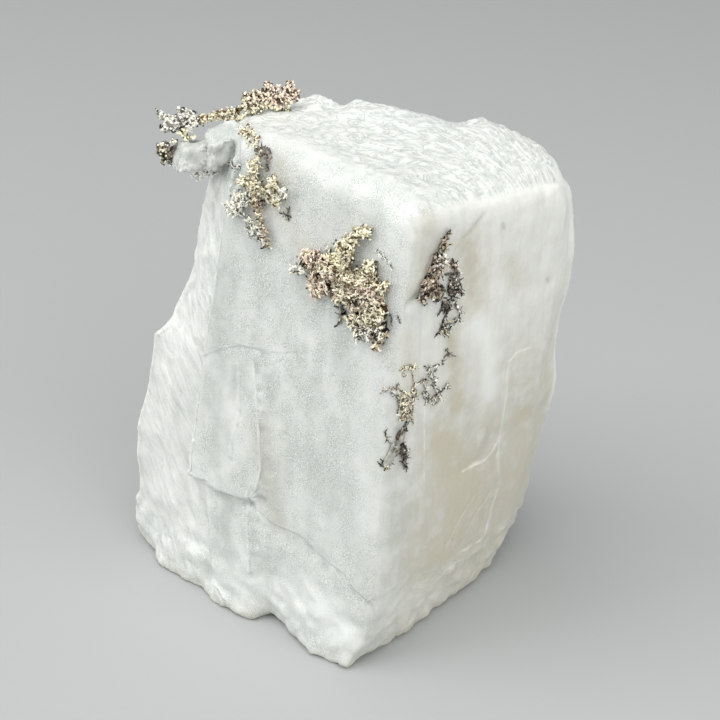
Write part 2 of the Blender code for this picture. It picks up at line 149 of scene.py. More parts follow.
@dataclass(frozen=True)
class Viewpoint:
    """Where the camera stands, and how a place in its square view leads out into the scene.

    Attributes:
        target: The point it looks at, in mm.
        distance: How far it stands from the target, in mm.
        elevation: Its height above the target, in degrees.
        field_of_view: How wide it sees, in degrees.
        side: The view's side in view units, in which the routes are drawn.
        sensor: The sensor's width in mm.
        clip: The nearest and the furthest that it sees, in metres.
    """

    target: tuple[float, float, float] = (2.25, 0.0, 30.0)
    distance: float = 170.0
    elevation: float = 33.0
    field_of_view: float = 26.0
    side: int = 720
    sensor: float = 36.0
    clip: tuple[float, float] = (0.005, 20.0)

    def position(self) -> Vector:
        """Gives the camera's place in mm."""
        return Vector(self.target) - self.distance * Vector(self.axes()[0])

    def axes(self) -> tuple[np.ndarray, np.ndarray]:
        """Gives the way the camera looks and its way up."""
        level, down = (turn(math.radians(self.elevation)) for turn in (math.cos, math.sin))
        return np.array((0, level, -down)), np.array((0, down, level))

    def reach(self, side: float) -> float:
        """Gives how far off the lens a picture of one side stands, in that side's units."""
        return side / 2 / math.tan(math.radians(self.field_of_view / 2))

    def direction(self, place: Point) -> Vector:
        """Gives the way out of the lens for one place in the view.

        Args:
            place: Across and down, in view units.

        Returns:
            A unit vector.
        """
        ahead, upward = self.axes()
        reach = self.reach(self.side)
        across = (place[0] - self.side / 2) / reach
        up = (self.side / 2 - place[1]) / reach
        return (Vector(ahead) + Vector((1, 0, 0)) * across + Vector(upward) * up).normalized()

    def seen(self, places: np.ndarray) -> np.ndarray:
        """Finds where points show in the view, the other way round from direction.

        Args:
            places: The points in mm, one a row.

        Returns:
            Across and down in view units, one pair a row.
        """
        ahead, upward = self.axes()
        reach = self.reach(self.side)
        away = places - np.array(self.position())
        depth = away @ ahead
        up = away @ upward
        middle = self.side / 2
        return np.column_stack((middle + reach * away[:, 0] / depth, middle - reach * up / depth))

    def build(self) -> bpy.types.Object:
        """Adds the camera and makes it the scene's own.

        Returns:
            The camera.
        """
        data = bpy.data.cameras.new("camera")
        data.sensor_width = self.sensor
        data.lens = self.reach(self.sensor)
        data.clip_start, data.clip_end = self.clip
        camera = bpy.data.objects.new("camera", data)
        camera.location = self.position() * MM
        camera.rotation_euler = (math.radians(90 - self.elevation), 0, 0)
        bpy.context.collection.objects.link(camera)
        bpy.context.scene.camera = camera
        return camera


class Carrier:
    """What a route drawn in the view is laid on."""

    def lay(self, place: Point) -> Laid | None:
        """Lays a place in the view on it: gives the point in mm and the way outwards, or None."""
        raise NotImplementedError


@dataclass
class Surface(Carrier):
    """A solid's skin, as the carrier of routes that lie on it.

    Attributes:
        view: The camera's viewpoint.
        tree: The search tree over the skin, in metres.
    """

    view: Viewpoint
    tree: BVHTree

    @classmethod
    def of(cls, view: Viewpoint, thing: bpy.types.Object) -> "Surface":
        """Makes the carrier for one mesh object.

        Args:
            view: The camera's viewpoint.
            thing: The mesh object.

        Returns:
            The carrier.
        """
        bm = bmesh.new()
        bm.from_mesh(thing.data)
        tree = BVHTree.FromBMesh(bm)
        bm.free()
        return cls(view, tree)

    def lay(self, place: Point) -> Laid | None:
        """Casts a ray from the camera onto the skin.

        Args:
            place: Across and down, in view units.

        Returns:
            Where it hits and the outward direction there, or None where it misses.
        """
        start = self.view.position() * MM
        hit, normal, _, _ = self.tree.ray_cast(start, self.view.direction(place))
        if hit is None:
            return None
        return hit / MM, normal

    def line(self, places: Route, step: float = 5.0) -> tuple[list[Vector], Vector]:
        """Lays a whole line on the skin in short steps.

        Args:
            places: The line's corners in the view.
            step: The longest step in view units.

        Returns:
            Points in mm, without those that miss the skin, and the outward direction they share.
        """
        laid = [found for found in map(self.lay, stepped(places, step)) if found is not None]
        outward = sum((normal for _, normal in laid), Vector())
        return [point for point, _ in laid], outward.normalized()


@dataclass
class Sheet(Carrier):
    """An upright sheet behind the view, as the carrier of ferns that stand free of the block.

    Attributes:
        view: The camera's viewpoint.
        depth: The sheet's y at x = 0, in mm.
        slope: How its y changes with x.
        tilt: How much what grows on it looks upwards.
    """

    view: Viewpoint
    depth: float
    slope: float = 0.0
    tilt: float = 0.25

    def lay(self, place: Point) -> Laid | None:
        """Meets the ray through the place with the sheet.

        Args:
            place: Across and down, in view units.

        Returns:
            Where they meet and the outward direction there.
        """
        start = self.view.position()
        way = self.view.direction(place)
        reach = (self.depth + self.slope * start.x - start.y) / (way.y - self.slope * way.x)
        return start + way * reach, Vector((self.slope, -1, self.tilt)).normalized()


def stepped(places: Route, step: float) -> list[Point]:
    """Cuts a line through places into even short steps.

    Args:
        places: The line's corners.
        step: The longest step.

    Returns:
        The corners with the places between them.
    """
    result = [places[0]]
    for start, end in zip(places, places[1:]):
        count = max(1, math.ceil(math.dist(start, end) / step))
        for index in range(1, count + 1):
            share = index / count
            across = start[0] + (end[0] - start[0]) * share
            result.append((across, start[1] + (end[1] - start[1]) * share))
    return result


class Trace(Enum):
    """What a stroke does to the calcite where it passes."""

    GROOVE = "a sunk line"
    RIDGE = "a raised line"
    LEDGE = "ground that drops on the right of the line and rises back to nothing"
    FROST = "etched grain"
    WARM = "stain"
    # Grey strokes lay clearer ground, and also painted shade: shadows under ledges and the plate,
    # and darkness in grooves, cracks and seams
    VEIL = "clearer, greyer ground"
    # White strokes lay whiter ground, and also painted highlights along lit edges and a painted rim
    # light on the right
    WHITE = "whiter ground"


@dataclass(frozen=True)
class Stroke:
    """One mark on the calcite, drawn as the camera sees it.

    Attributes:
        kind: What it does.
        amount: Its depth in mm, or its strength from 0 to 1, less than nothing where it takes away.
        width: Its reach to each side, in mm.
        places: Its corners in the view.
    """

    kind: Trace
    amount: float
    width: float
    places: Route


@dataclass(frozen=True)
class Pattern:
    """Cloudy noise whose lumps are of one size.

    Attributes:
        size: The lump size in mm.
        detail: How many finer layers it has.
        twist: How far it is warped by itself.
        stretch: How much longer than wide its lumps are.
        way: The direction in which they are long.
        coarse: How strong each finer layer is.
    """

    size: float
    detail: float
    twist: float = 0.0
    stretch: float = 1.0
    way: tuple[float, float, float] = (0.0, 0.0, 1.0)
    coarse: float = 0.6

    def draw(self, tree: Tree, place: Socket) -> Socket:
        """Draws the pattern in a material.

        Args:
            tree: The material's tree.
            place: The place on the piece, in mm.

        Returns:
            The noise socket, around a half.
        """
        if self.stretch > 1:
            turn = Vector(self.way).to_track_quat("Z", "Y").to_euler()
            values = {"Rotation": turn, "Scale": (1.0, 1.0, self.stretch)}
            place = add_node(
                tree, "ShaderNodeMapping", values, {"Vector": place}, vector_type="TEXTURE",
            ).outputs[0]
        values = {
            "Scale": 1 / self.size, "Detail": self.detail, "Roughness": self.coarse,
            "Distortion": self.twist,
        }
        return add_node(tree, "ShaderNodeTexNoise", values, {"Vector": place}).outputs[0]


@dataclass(frozen=True)
class Layer:
    """One colour laid over the calcite.

    Attributes:
        tone: The colour, in hex.
        where: The attribute that says where it lies.
        pattern: The pattern that breaks it up there, if it has one.
        span: Two values of the pattern, and how much of the colour shows at each.
    """

    tone: str
    where: str
    pattern: str = ""
    span: Span = (0.0, 1.0, 0.0, 1.0)


@dataclass(frozen=True)
class CalciteFinish:
    """Milky calcite: massive white cleavage with an etched, frosted skin.

    Light goes some way into it and comes back white, so its edges glow and its shadows stay pale.
    Etching leaves a fine sparkling grain, and cleavage leaves smoother, greyer ground.

    Attributes:
        white: The colour of the frosted ground.
        grey: The colour of clearer, smoother ground, and of painted shade under edges and in
            grooves.
        beige: The colour of warmer ground, and of the painted shadow beside the plate.
        deep: The colour of painted shade in the hollows and the furrows between the crests, and of
            dark flecks.
        glow_depth: How far light travels inside, in mm.
        glow_colour: How far each of red, green and blue travels, as a share of that.
        glow: How much of the light goes inside.
        ior: Calcite's ordinary index of refraction.
        roughness: Of the cleaved ground.
        cloud: The more and the less etched patches.
        fleck: The flecks of the etched grain, drawn coarser than the real ones so they show.
        grain: The relief of that grain.
        streaks: The upright streaks of the right face.
        tears: The torn striations of the left face.
        crests: The net between the finest crests of the top.
        squeeze: How much that net is drawn out along the crests.
        furrow: How wide a furrow of that net is, as a share of its noise.
        patchy: How the grain follows the patches.
        layers: The colours over the white ground, from the lowest.
        bumps: The fine relief: each one's pattern, its attribute, and its depth in mm.
    """

    white: str = "#E7E9E6"
    grey: str = "#B8BCB9"
    beige: str = "#BFB8A4"
    deep: str = "#AFB6B1"
    glow_depth: float = 0.6
    glow_colour: tuple[float, float, float] = (1.0, 0.97, 0.88)
    glow: float = 0.8
    ior: float = 1.658
    roughness: float = 0.5
    cloud: Pattern = Pattern(1.7, 4.0)
    fleck: Pattern = Pattern(0.11, 2.0)
    grain: Pattern = Pattern(0.165, 3.0)
    streaks: Pattern = Pattern(0.8, 4.0, stretch=12.0)
    tears: Pattern = Pattern(1.0, 4.0, twist=0.7, stretch=5.0, way=LEAN)
    crests: Pattern = Pattern(1.32, 2.0, twist=1.1)
    squeeze: float = 0.62
    furrow: float = 0.06
    patchy: Span = (0.4, 0.6, 0.25, 1.6)
    layers: tuple[Layer, ...] = (
        Layer(grey, "veil", "cloud", (0.35, 0.65, 0.7, 1.3)),
        Layer(beige, "warm", "cloud", (0.35, 0.65, 0.7, 1.3)),
        # Painted shade: the hollows of the relief and the furrows between the top's crests
        Layer(deep, "hollow"),
        Layer(deep, "ripple", "furrows", (0.0, 1.0, 0.08, 0.85)),
        Layer(grey, "streak", "streaks", (0.45, 0.75, 0.0, 0.3)),
        Layer(grey, "torn", "tears", (0.47, 0.63, 0.0, 0.28)),
        Layer(deep, "etched", "fleck", (0.52, 0.36, 0.0, 1.0)),
        Layer(white, "etched", "fleck", (0.5, 0.62, 0.0, 1.0)),
        Layer(white, "white"),
    )
    bumps: tuple[tuple[str, str, float], ...] = (
        ("grain", "frost", 0.07), ("furrows", "ripple", -0.07),
        ("tears", "torn", 0.35), ("streaks", "streak", 0.05),
    )

    def material(self) -> bpy.types.Material:
        """Makes the material, which reads the block's own attributes.

        Returns:
            The material.
        """
        material, tree = new_tree("calcite")
        sockets = self.sockets(tree)
        shader = add_node(
            tree, "ShaderNodeBsdfPrincipled",
            {
                "Roughness": self.roughness, "IOR": self.ior, "Subsurface Weight": self.glow,
                "Subsurface Radius": self.glow_colour, "Subsurface Scale": self.glow_depth * MM,
                "Subsurface Anisotropy": 0.0,
            },
            {"Base Color": self.colour(tree, sockets), "Normal": self.relief(tree, sockets)},
        )
        add_node(tree, "ShaderNodeOutputMaterial", links={"Surface": shader.outputs[0]})
        return material

    def sockets(self, tree: Tree) -> dict[str, Socket]:
        """Reads the block's attributes and draws the patterns over them.

        Args:
            tree: The material's tree.

        Returns:
            Their sockets by name.
        """
        found = {
            name: add_node(tree, "ShaderNodeAttribute", attribute_name=name).outputs["Fac"]
            for name in CALCITE_FIELDS
        }
        place = add_node(tree, "ShaderNodeTexCoord").outputs["Object"]
        place = add_node(
            tree, "ShaderNodeMapping", {"Scale": (1 / MM, 1 / MM, 1 / MM)}, {"Vector": place},
        ).outputs[0]
        for name in ("cloud", "fleck", "grain", "streaks", "tears"):
            found[name] = getattr(self, name).draw(tree, place)
        found["furrows"] = self.furrows(tree, found)
        found["etched"] = self.broken_up(tree, found["frost"], found["cloud"], self.patchy)
        return found

    def furrows(self, tree: Tree, sockets: dict[str, Socket]) -> Socket:
        """Draws the net of fine furrows between the top's crests, bent with the face.

        Args:
            tree: The material's tree.
            sockets: The block's attributes.

        Returns:
            The furrows' depth, from 0 to 1.
        """
        bent = add_node(
            tree, "ShaderNodeCombineXYZ", links={"X": sockets["along"], "Y": sockets["flow"]},
        ).outputs[0]
        drawn = add_node(
            tree, "ShaderNodeMapping", {"Scale": (self.squeeze, 1.0, 1.0)}, {"Vector": bent},
        ).outputs[0]
        net = self.crests.draw(tree, drawn)
        for values, operation in (({1: 0.5}, "SUBTRACT"), ({}, "ABSOLUTE")):
            net = add_node(tree, "ShaderNodeMath", values, {0: net}, operation=operation).outputs[0]
        values = dict(zip(SPAN_SOCKETS, (0.0, self.furrow, 1.0, 0.0)))
        return add_node(tree, "ShaderNodeMapRange", values, {"Value": net}).outputs[0]

    @staticmethod
    def broken_up(tree: Tree, where: Socket, pattern: Socket, span: Span) -> Socket:
        """Breaks one attribute up by a pattern.

        Args:
            tree: The material's tree.
            where: The attribute.
            pattern: The pattern.
            span: Two values of the pattern, and the share of the attribute that is left at each.

        Returns:
            What is left, from 0 to 1.
        """
        values = dict(zip(SPAN_SOCKETS, span))
        share = add_node(tree, "ShaderNodeMapRange", values, {"Value": pattern})
        return add_node(
            tree, "ShaderNodeMath", links={0: where, 1: share.outputs[0]}, operation="MULTIPLY",
            use_clamp=True,
        ).outputs[0]

    def colour(self, tree: Tree, sockets: dict[str, Socket]) -> Socket:
        """Lays the colours over the white ground, one after the other.

        Args:
            tree: The material's tree.
            sockets: The block's attributes and patterns.

        Returns:
            The colour socket.
        """
        ground = None
        for layer in self.layers:
            share = sockets[layer.where]
            if layer.pattern:
                share = self.broken_up(tree, share, sockets[layer.pattern], layer.span)
            links = {MIX_SHARE: share}
            if ground is not None:
                links[MIX_UNDER] = ground
            values = {MIX_UNDER: linear(self.white), MIX_OVER: linear(layer.tone)}
            mix = add_node(tree, "ShaderNodeMix", values, links, data_type="RGBA")
            ground = mix.outputs[MIX_RESULT]
        return ground

    def relief(self, tree: Tree, sockets: dict[str, Socket]) -> Socket:
        """Raises the etched grain, the crests of the top and the streaks of the sides.

        Args:
            tree: The material's tree.
            sockets: The block's attributes and patterns.

        Returns:
            The normal socket.
        """
        normal = None
        for pattern, where, depth in self.bumps:
            links = {"Height": sockets[pattern], "Strength": sockets[where]}
            if normal is not None:
                links["Normal"] = normal
            normal = add_node(tree, "ShaderNodeBump", {"Distance": depth * MM}, links).outputs[0]
        return normal


@dataclass(frozen=True)
class Lumps:
    """Cloudy lumps in the relief.

    Attributes:
        height: Their height in mm.
        size: Their size in mm.
        layers: How many finer layers they have.
    """

    height: float
    size: float
    layers: int

    def at(self, point: Vector) -> float:
        """Gives their height in mm at a point in mm, around nothing."""
        return self.height * noise.fractal(point / self.size, 1.0, 2.0, self.layers)


@dataclass
class CalciteBlock:
    """The calcite: a cleavage block with a rippled top, a raised plate and two small rhombs.

    Attributes:
        view: The camera's viewpoint.
        finish: Its material.
        strokes: The marks drawn on it.
        node: The solid that it stands for.
        voxel: The size of the mesh that carries the relief, in mm.
        margin: How far the skin stays inside the solid's box, in mm.
        front_face: The front left face: its y at x = 0 and z = 0, and its slopes along x and z.
        front_reach: How far off that face its ground may lie, in mm.
        right_way: The way that the right face looks.
        corner: How the corner with the rhombs slants with y, and its lowest z in mm.
        rises: Where each share of the ground starts and is full: of facing a side's way, of
            height up or down in mm, of distance in mm, and for the flank in view units.
        edges: The worn edges: of the top at its front and right, and between the two front faces.
        flank: Where the front face ends and the torn left flank starts, from top to foot.
        flank_step: How far the flank lies below the front face, in mm.
        wear: How far the wear reaches from the worn edges, in mm.
        wear_bands: The shares of that reach that are smoothed one after the other.
        wear_rounds: How often each band is smoothed.
        fade_rounds: How often the change of tone between the front faces is evened out.
        hollow_reach: Over how many points round it a hollow is found.
        hollow_depth: The depth at which a hollow's painted shade is full, in mm.
        spill: How many of its widths a stroke reaches.
        ledge_run: How many of its widths a ledge takes to rise back.
        thin: The width below which a stroke is broken up along its way, in mm.
        refined: How far from the thin marks the mesh is cut finer, once for each, in mm.
        faint: The share of a side below which its relief is left out.
        clouds: The clouds of grey, whose height is a share.
        upright: How much the clouds and the streaks are shortened upwards.
        skin: The lumps that are everywhere.
        streaks: The upright streaks of the right face.
        swell: The swell of the right face.
        crumbs: The crumbs between the knobs of the foot.
        crust: The lumps of the corner with the rhombs.
        body: The mesh while it is built.
        broken: How much a thin stroke shows at each point of it.
    """

    view: Viewpoint
    finish: CalciteFinish
    strokes: tuple[Stroke, ...]
    node: str = "calcite_block"
    voxel: float = 0.41
    margin: float = 0.005
    front_face: tuple[float, float, float] = (-16.1, -0.767, 0.1375)
    front_reach: float = 2.6
    right_way: tuple[float, float, float] = (0.64, -0.77, 0.0)
    corner: tuple[float, float] = (0.2, 51.0)
    rises: dict[str, Rise] = field(default_factory=lambda: {
        "front": (0.8, 0.93), "right": (0.55, 0.8), "top": (0.55, 0.8), "left": (0.5, 0.75),
        "back": (0.05, 0.4), "stroke": (0.35, 0.7), "plateau": (50, 52), "foot": (-13, -3),
        "stain": (-46, -14), "base": (-1.8, -0.2), "corner": (9.4, 10.4), "rim": (0.6, 4.2),
        "inward": (0.3, 6.0), "lip": (-0.05, 0.1), "flank": (-1, 2),
    })
    edges: tuple[Route, ...] = (
        ((262, 138), (300, 160), (350, 183), (395, 205), (422, 213)),
        ((422, 213), (470, 206), (520, 190), (560, 166)),
        ((422, 216), (414, 260), (405, 320), (400, 400), (396, 500), (385, 590), (376, 640)),
    )
    flank: Route = (
        (240, 170), (222, 230), (205, 345), (191, 475), (205, 484), (210, 540), (213, 585),
        (226, 602),
    )
    flank_step: float = 0.25
    wear: float = 4.2
    wear_bands: tuple[float, ...] = (1.0, 0.7, 0.4)
    wear_rounds: int = 30
    fade_rounds: int = 40
    hollow_reach: int = 7
    hollow_depth: float = 0.12
    spill: float = 3.2
    ledge_run: float = 3.0
    thin: float = 0.5
    refined: tuple[float, ...] = (0.4, 0.2)
    faint: float = 0.01
    clouds: Lumps = Lumps(1.0, 2.4, 4)
    upright: tuple[float, float] = (0.42, 0.14)
    skin: Lumps = Lumps(0.03, 1.3, 3)
    streaks: Lumps = Lumps(0.06, 0.9, 3)
    swell: Lumps = Lumps(0.14, 6.0, 2)
    crumbs: Lumps = Lumps(0.2, 1.5, 3)
    crust: Lumps = Lumps(0.26, 0.9, 3)
    body: bpy.types.Object | None = field(default=None, init=False)
    broken: np.ndarray | None = field(default=None, init=False)

    def build(self) -> bpy.types.Object:
        """Returns:
            The finished object.
        """
        self.body = self.fine_copy()
        surface = Surface.of(self.view, self.body)
        self.wear_edges(surface)
        faces = ("front", "right")
        zones = self.zones(*self.read_mesh(), surface)
        for name in faces:
            self.write_share("soft_" + name, self.blurred(zones[name], self.fade_rounds))
        for reach in self.refined:
            self.refine(surface, reach)
        places, normals = self.read_mesh()
        zones = self.zones(places, normals, surface)
        soft = {name: self.read_share("soft_" + name) for name in faces}
        fields = self.plain_fields({**zones, **soft}, places)
        drop = self.ground_relief(places, zones)
        self.broken = np.array([0.75 + 0.9 * noise.noise(Vector(place) / 1.1) for place in places])
        for stroke in self.strokes:
            self.apply(stroke, surface, places, normals, drop, fields)
        self.write_mesh(places + normals * drop[:, None])
        # Painted shade: the hollows of the relief are painted darker, most of all on the top
        fields["hollow"] = self.hollows(drop) * (0.3 + 0.7 * zones["top"])
        fields["flow"] = self.flow(places)
        fields["along"] = places[:, 0]
        for name in CALCITE_FIELDS:
            self.write_share(name, fields[name])
        mesh = self.body.data
        mesh.materials.append(self.finish.material())
        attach(self.body, "root")
        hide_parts(self.node)
        LOG.info("calcite: %d triangles", sum(len(face.vertices) - 2 for face in mesh.polygons))
        return self.body

    def fine_copy(self) -> bpy.types.Object:
        """Copies the solid, merges its triangles and remeshes it finely.

        Returns:
            The new object.
        """
        bm = bmesh.new()
        bm.from_mesh(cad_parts[self.node].data)
        bmesh.ops.remove_doubles(bm, verts=bm.verts, dist=MERGED)
        mesh = bpy.data.meshes.new("calcite_draft")
        bm.to_mesh(mesh)
        bm.free()
        draft = bpy.data.objects.new("calcite_draft", mesh)
        bpy.context.collection.objects.link(draft)
        remesh = draft.modifiers.new("remesh", "REMESH")
        remesh.mode = "VOXEL"
        remesh.voxel_size = self.voxel * MM
        remesh.use_smooth_shade = True
        bpy.context.view_layer.update()
        shown = draft.evaluated_get(bpy.context.evaluated_depsgraph_get())
        fine = bpy.data.meshes.new_from_object(shown)
        fine.name = "calcite"
        fine.materials.clear()
        bpy.data.objects.remove(draft)
        body = bpy.data.objects.new("calcite", fine)
        bpy.context.collection.objects.link(body)
        return body

    def wear_edges(self, surface: Surface) -> None:
        """Rounds the worn edges.

        Args:
            surface: The block's skin.
        """
        places, _ = self.read_mesh()
        gap = self.gap(surface, self.edges, places, self.wear)
        bm = bmesh.new()
        bm.from_mesh(self.body.data)
        bm.verts.ensure_lookup_table()
        for share in self.wear_bands:
            worn = [bm.verts[index] for index in np.where(gap < self.wear * share)[0]]
            for _ in range(self.wear_rounds):
                bmesh.ops.smooth_vert(
                    bm, verts=worn, factor=0.5, use_axis_x=True, use_axis_y=True, use_axis_z=True,
                )
        bm.to_mesh(self.body.data)
        bm.free()

    def refine(self, surface: Surface, reach: float) -> None:
        """Cuts the mesh finer along the thin marks, so that they come out crisp.

        Args:
            surface: The block's skin.
            reach: How far from the marks, in mm.
        """
        crisp = [
            stroke.places for stroke in self.strokes
            if stroke.width < self.thin or stroke.kind is Trace.LEDGE
        ]
        gap = self.gap(surface, (*crisp, self.flank), self.read_mesh()[0], reach)
        bm = bmesh.new()
        bm.from_mesh(self.body.data)
        near = [edge for edge in bm.edges if min(gap[vert.index] for vert in edge.verts) < reach]
        bmesh.ops.subdivide_edges(bm, edges=near, cuts=1, use_grid_fill=True)
        bm.to_mesh(self.body.data)
        bm.free()

    def read_mesh(self) -> tuple[np.ndarray, np.ndarray]:
        """Reads the points and their outward directions.

        Returns:
            Two arrays of rows of three; the points are in mm.
        """
        mesh = self.body.data
        places = np.empty(len(mesh.vertices) * 3)
        normals = np.empty(len(mesh.vertices) * 3)
        mesh.vertices.foreach_get("co", places)
        mesh.vertex_normals.foreach_get("vector", normals)
        return places.reshape(-1, 3) / MM, normals.reshape(-1, 3)

    def write_mesh(self, places: np.ndarray) -> None:
        """Moves the points, kept inside the solid's own box.

        Args:
            places: The new points in mm.
        """
        low, high = (np.array(corner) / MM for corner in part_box(self.node))
        kept = np.clip(places, low + self.margin, high - self.margin)
        self.body.data.vertices.foreach_set("co", (kept * MM).ravel())
        self.body.data.update()

    def write_share(self, name: str, values: np.ndarray) -> None:
        """Keeps one value for each point as an attribute of the mesh."""
        attribute = self.body.data.attributes.new(name, "FLOAT", "POINT")
        attribute.data.foreach_set("value", np.ascontiguousarray(values, dtype=np.float32))

    def read_share(self, name: str) -> np.ndarray:
        """Takes such an attribute off the mesh again.

        Args:
            name: The attribute's name.

        Returns:
            Its values.
        """
        attribute = self.body.data.attributes[name]
        values = np.empty(len(attribute.data))
        attribute.data.foreach_get("value", values)
        self.body.data.attributes.remove(attribute)
        return values

    def risen(self, name: str, values: np.ndarray) -> np.ndarray:
        """Turns values into a share, from 0 where it starts to 1 where it is full.

        Args:
            name: The share's name among the rises.
            values: The values.

        Returns:
            The share at each.
        """
        low, high = self.rises[name]
        share = np.clip((values - low) / (high - low), 0, 1)
        return share * share * (3 - 2 * share)

    def zones(
        self, places: np.ndarray, normals: np.ndarray, surface: Surface,
    ) -> dict[str, np.ndarray]:
        """Says how much each point belongs to each side of the block.

        Args:
            places: The points in mm.
            normals: Their outward directions.
            surface: The block's skin.

        Returns:
            Shares from 0 to 1 by the side's name.
        """
        base, slope_x, slope_z = self.front_face
        facing = Vector((slope_x, -1, slope_z)).normalized()
        offset = places[:, 1] - base - slope_x * places[:, 0] - slope_z * places[:, 2]
        on_front = np.abs(offset) < self.front_reach
        front = self.risen("front", normals @ np.array(facing)) * on_front
        top = self.risen("top", normals[:, 2]) * self.risen("plateau", places[:, 2])
        right = self.risen("right", normals @ np.array(self.right_way))
        seen = self.view.seen(places)
        across, down = zip(*self.flank)
        beyond = np.interp(seen[:, 1], down, across) - seen[:, 0]
        torn = self.risen("flank", beyond) * front
        front -= torn
        slant, floor = self.corner
        corner = self.risen("corner", -places[:, 0] - places[:, 1] * slant) * (places[:, 2] > floor)
        rim_gap = self.gap(surface, self.edges[:1], places, 5.0)
        edge_gap = self.gap(surface, self.edges[2:], places, 7.0)
        open_top = top * (1 - corner)
        return {
            "front": front, "top": open_top, "right": right * (1 - front),
            "left": np.maximum(torn, self.risen("left", -normals[:, 0]) * (1 - front)),
            "torn": torn, "corner": corner, "foot": self.risen("foot", -places[:, 2]),
            "back": self.risen("back", normals[:, 1]) * (1 - top),
            "ripple": open_top * self.risen("rim", rim_gap),
            "inward": self.risen("inward", edge_gap),
        }

    def plain_fields(
        self, zones: dict[str, np.ndarray], places: np.ndarray,
    ) -> dict[str, np.ndarray]:
        """Gives each side its overall look, before the strokes.

        Args:
            zones: Shares of the sides.
            places: The points in mm.

        Returns:
            The attributes that the material reads.
        """
        front, right, left, corner = (zones[name] for name in ("front", "right", "left", "corner"))
        low, base = (self.risen(name, -places[:, 2]) for name in ("stain", "base"))
        drawn = places * np.array((1, 1, self.upright[0]))
        cloud = np.array([self.clouds.at(Vector(place)) for place in drawn])
        # The front is etched all over, the other sides in places
        frost = 0.75 * front + 0.12 * left + 0.2 * zones["foot"] + 0.1 + 0.3 * corner
        # The right face is warmer, most of it low and away from the front edge
        warm = 0.06 + right * (0.18 + 0.5 * low) * (0.35 + 0.65 * zones["inward"]) + 0.5 * base
        # The front is greyer than the rest, and clouded
        veil = 0.48 * front * (1 + 1.1 * cloud) + right * (0.9 * low - 0.05) * (1 + 0.4 * cloud)
        veil += left * (0.25 * cloud - 0.02) + 0.9 * corner
        return {
            "frost": frost, "warm": warm, "veil": veil, "white": 0.3 * zones["ripple"],
            "ripple": zones["ripple"], "streak": right + 0.5 * zones["back"], "torn": left,
        }

    @staticmethod
    def flow(places: np.ndarray) -> np.ndarray:
        """Gives the length across the top's ripples, which bend round the right corner, in mm."""
        across, deep, high = places.T
        return deep + 0.09 * np.maximum(0, across - 8) ** 2 + 0.1 * high

    def blurred(self, values: np.ndarray, rounds: int) -> np.ndarray:
        """Evens out one value over the mesh.

        Args:
            values: The value at each point.
            rounds: How often each point takes the mean of itself and those next to it.

        Returns:
            The evened values.
        """
        mesh = self.body.data
        ends = np.empty(len(mesh.edges) * 2, dtype=np.int64)
        mesh.edges.foreach_get("vertices", ends)
        first, second = ends.reshape(-1, 2).T
        count = np.bincount(ends, minlength=len(values)) + 1
        for _ in range(rounds):
            total = values + np.bincount(first, values[second], len(values))
            values = (total + np.bincount(second, values[first], len(values))) / count
        return values

    def hollows(self, drop: np.ndarray) -> np.ndarray:
        """Finds the ground lower than what is round it: 0 on the crests, 1 in the hollows."""
        sunk = self.blurred(drop, self.hollow_reach) - drop
        return np.clip(sunk / self.hollow_depth, 0, 1)

    def ground_relief(self, places: np.ndarray, zones: dict[str, np.ndarray]) -> np.ndarray:
        """Shapes the ground of each side: ripples, striations, lumps and ledges.

        Args:
            places: The points in mm.
            zones: Shares of the sides.

        Returns:
            How far each point moves outwards, in mm.
        """
        drop = np.array([self.skin.at(Vector(place)) for place in places])
        drop -= self.flank_step * zones["torn"]
        shapes = {
            "ripple": self.ripple, "left": self.hackle, "right": self.streaked,
            "back": self.ledges, "foot": self.knobs, "corner": self.crusted,
        }
        for side, shape in shapes.items():
            for index in np.where(zones[side] > self.faint)[0]:
                drop[index] += zones[side][index] * shape(places[index])
        return drop

    @classmethod
    def ripple(cls, place: np.ndarray) -> float:
        """Gives the wrinkled crests of the top face, two nets of them 1.5 and 1.7 mm apart.

        Args:
            place: The place in mm.

        Returns:
            A height in mm.
        """
        point = Vector(place)
        flow = cls.flow(place)
        drift = Lumps(1.5, 3.2, 3).at(point)
        crest = 1 - abs(math.sin(math.pi * (flow + drift) / 1.5))
        cross = 1 - abs(math.sin(math.pi * (flow * 0.75 + point.x * 0.42 - drift * 0.8) / 1.7))
        broken = 0.55 + 0.8 * noise.noise(point / 1.8)
        return 0.26 * max(crest, cross) * broken - 0.1 + Lumps(0.08, 0.9, 2).at(point)

    @staticmethod
    def hackle(place: np.ndarray) -> float:
        """Gives the steep, torn striations of the left face.

        Args:
            place: The place in mm.

        Returns:
            A height in mm.
        """
        lean = np.array(LEAN)
        drawn = Vector(place - (place @ lean) * lean * 0.72)
        torn = abs(Lumps(1.0, 2.4, 4).at(drawn))
        patch = 0.6 + 0.7 * noise.noise(drawn / 6.0)
        return patch * (0.5 * (0.5 - torn) - 0.16) + Lumps(0.07, 0.9, 3).at(drawn)

    def streaked(self, place: np.ndarray) -> float:
        """Gives the streaks and the swell of the right face in mm, at one place in mm."""
        tall = Vector(place * np.array((1, 1, self.upright[1])))
        return self.streaks.at(tall) + self.swell.at(Vector(place))

    @staticmethod
    def ledges(place: np.ndarray) -> float:
        """Gives the stepped, broken ground of the back.

        Args:
            place: The place in mm.

        Returns:
            A height in mm.
        """
        point = Vector(place)
        swell = Lumps(1.0, 1.0, 4).at(Vector((point.x / 7, point.y / 7, point.z / 11)))
        steps = math.floor(swell * 5) / 5
        return 0.55 * (steps - swell * 0.4) + Lumps(0.1, 1.4, 3).at(point)

    def knobs(self, place: np.ndarray) -> float:
        """Gives the knobs and crumbs of the broken foot in mm, at one place in mm."""
        point = Vector(place)
        return 0.25 - 0.55 * noise.voronoi(point / 2.2)[0][0] + self.crumbs.at(point)

    def crusted(self, place: np.ndarray) -> float:
        """Gives the lumps of the corner with the rhombs in mm, at one place in mm."""
        return self.crust.at(Vector(place))

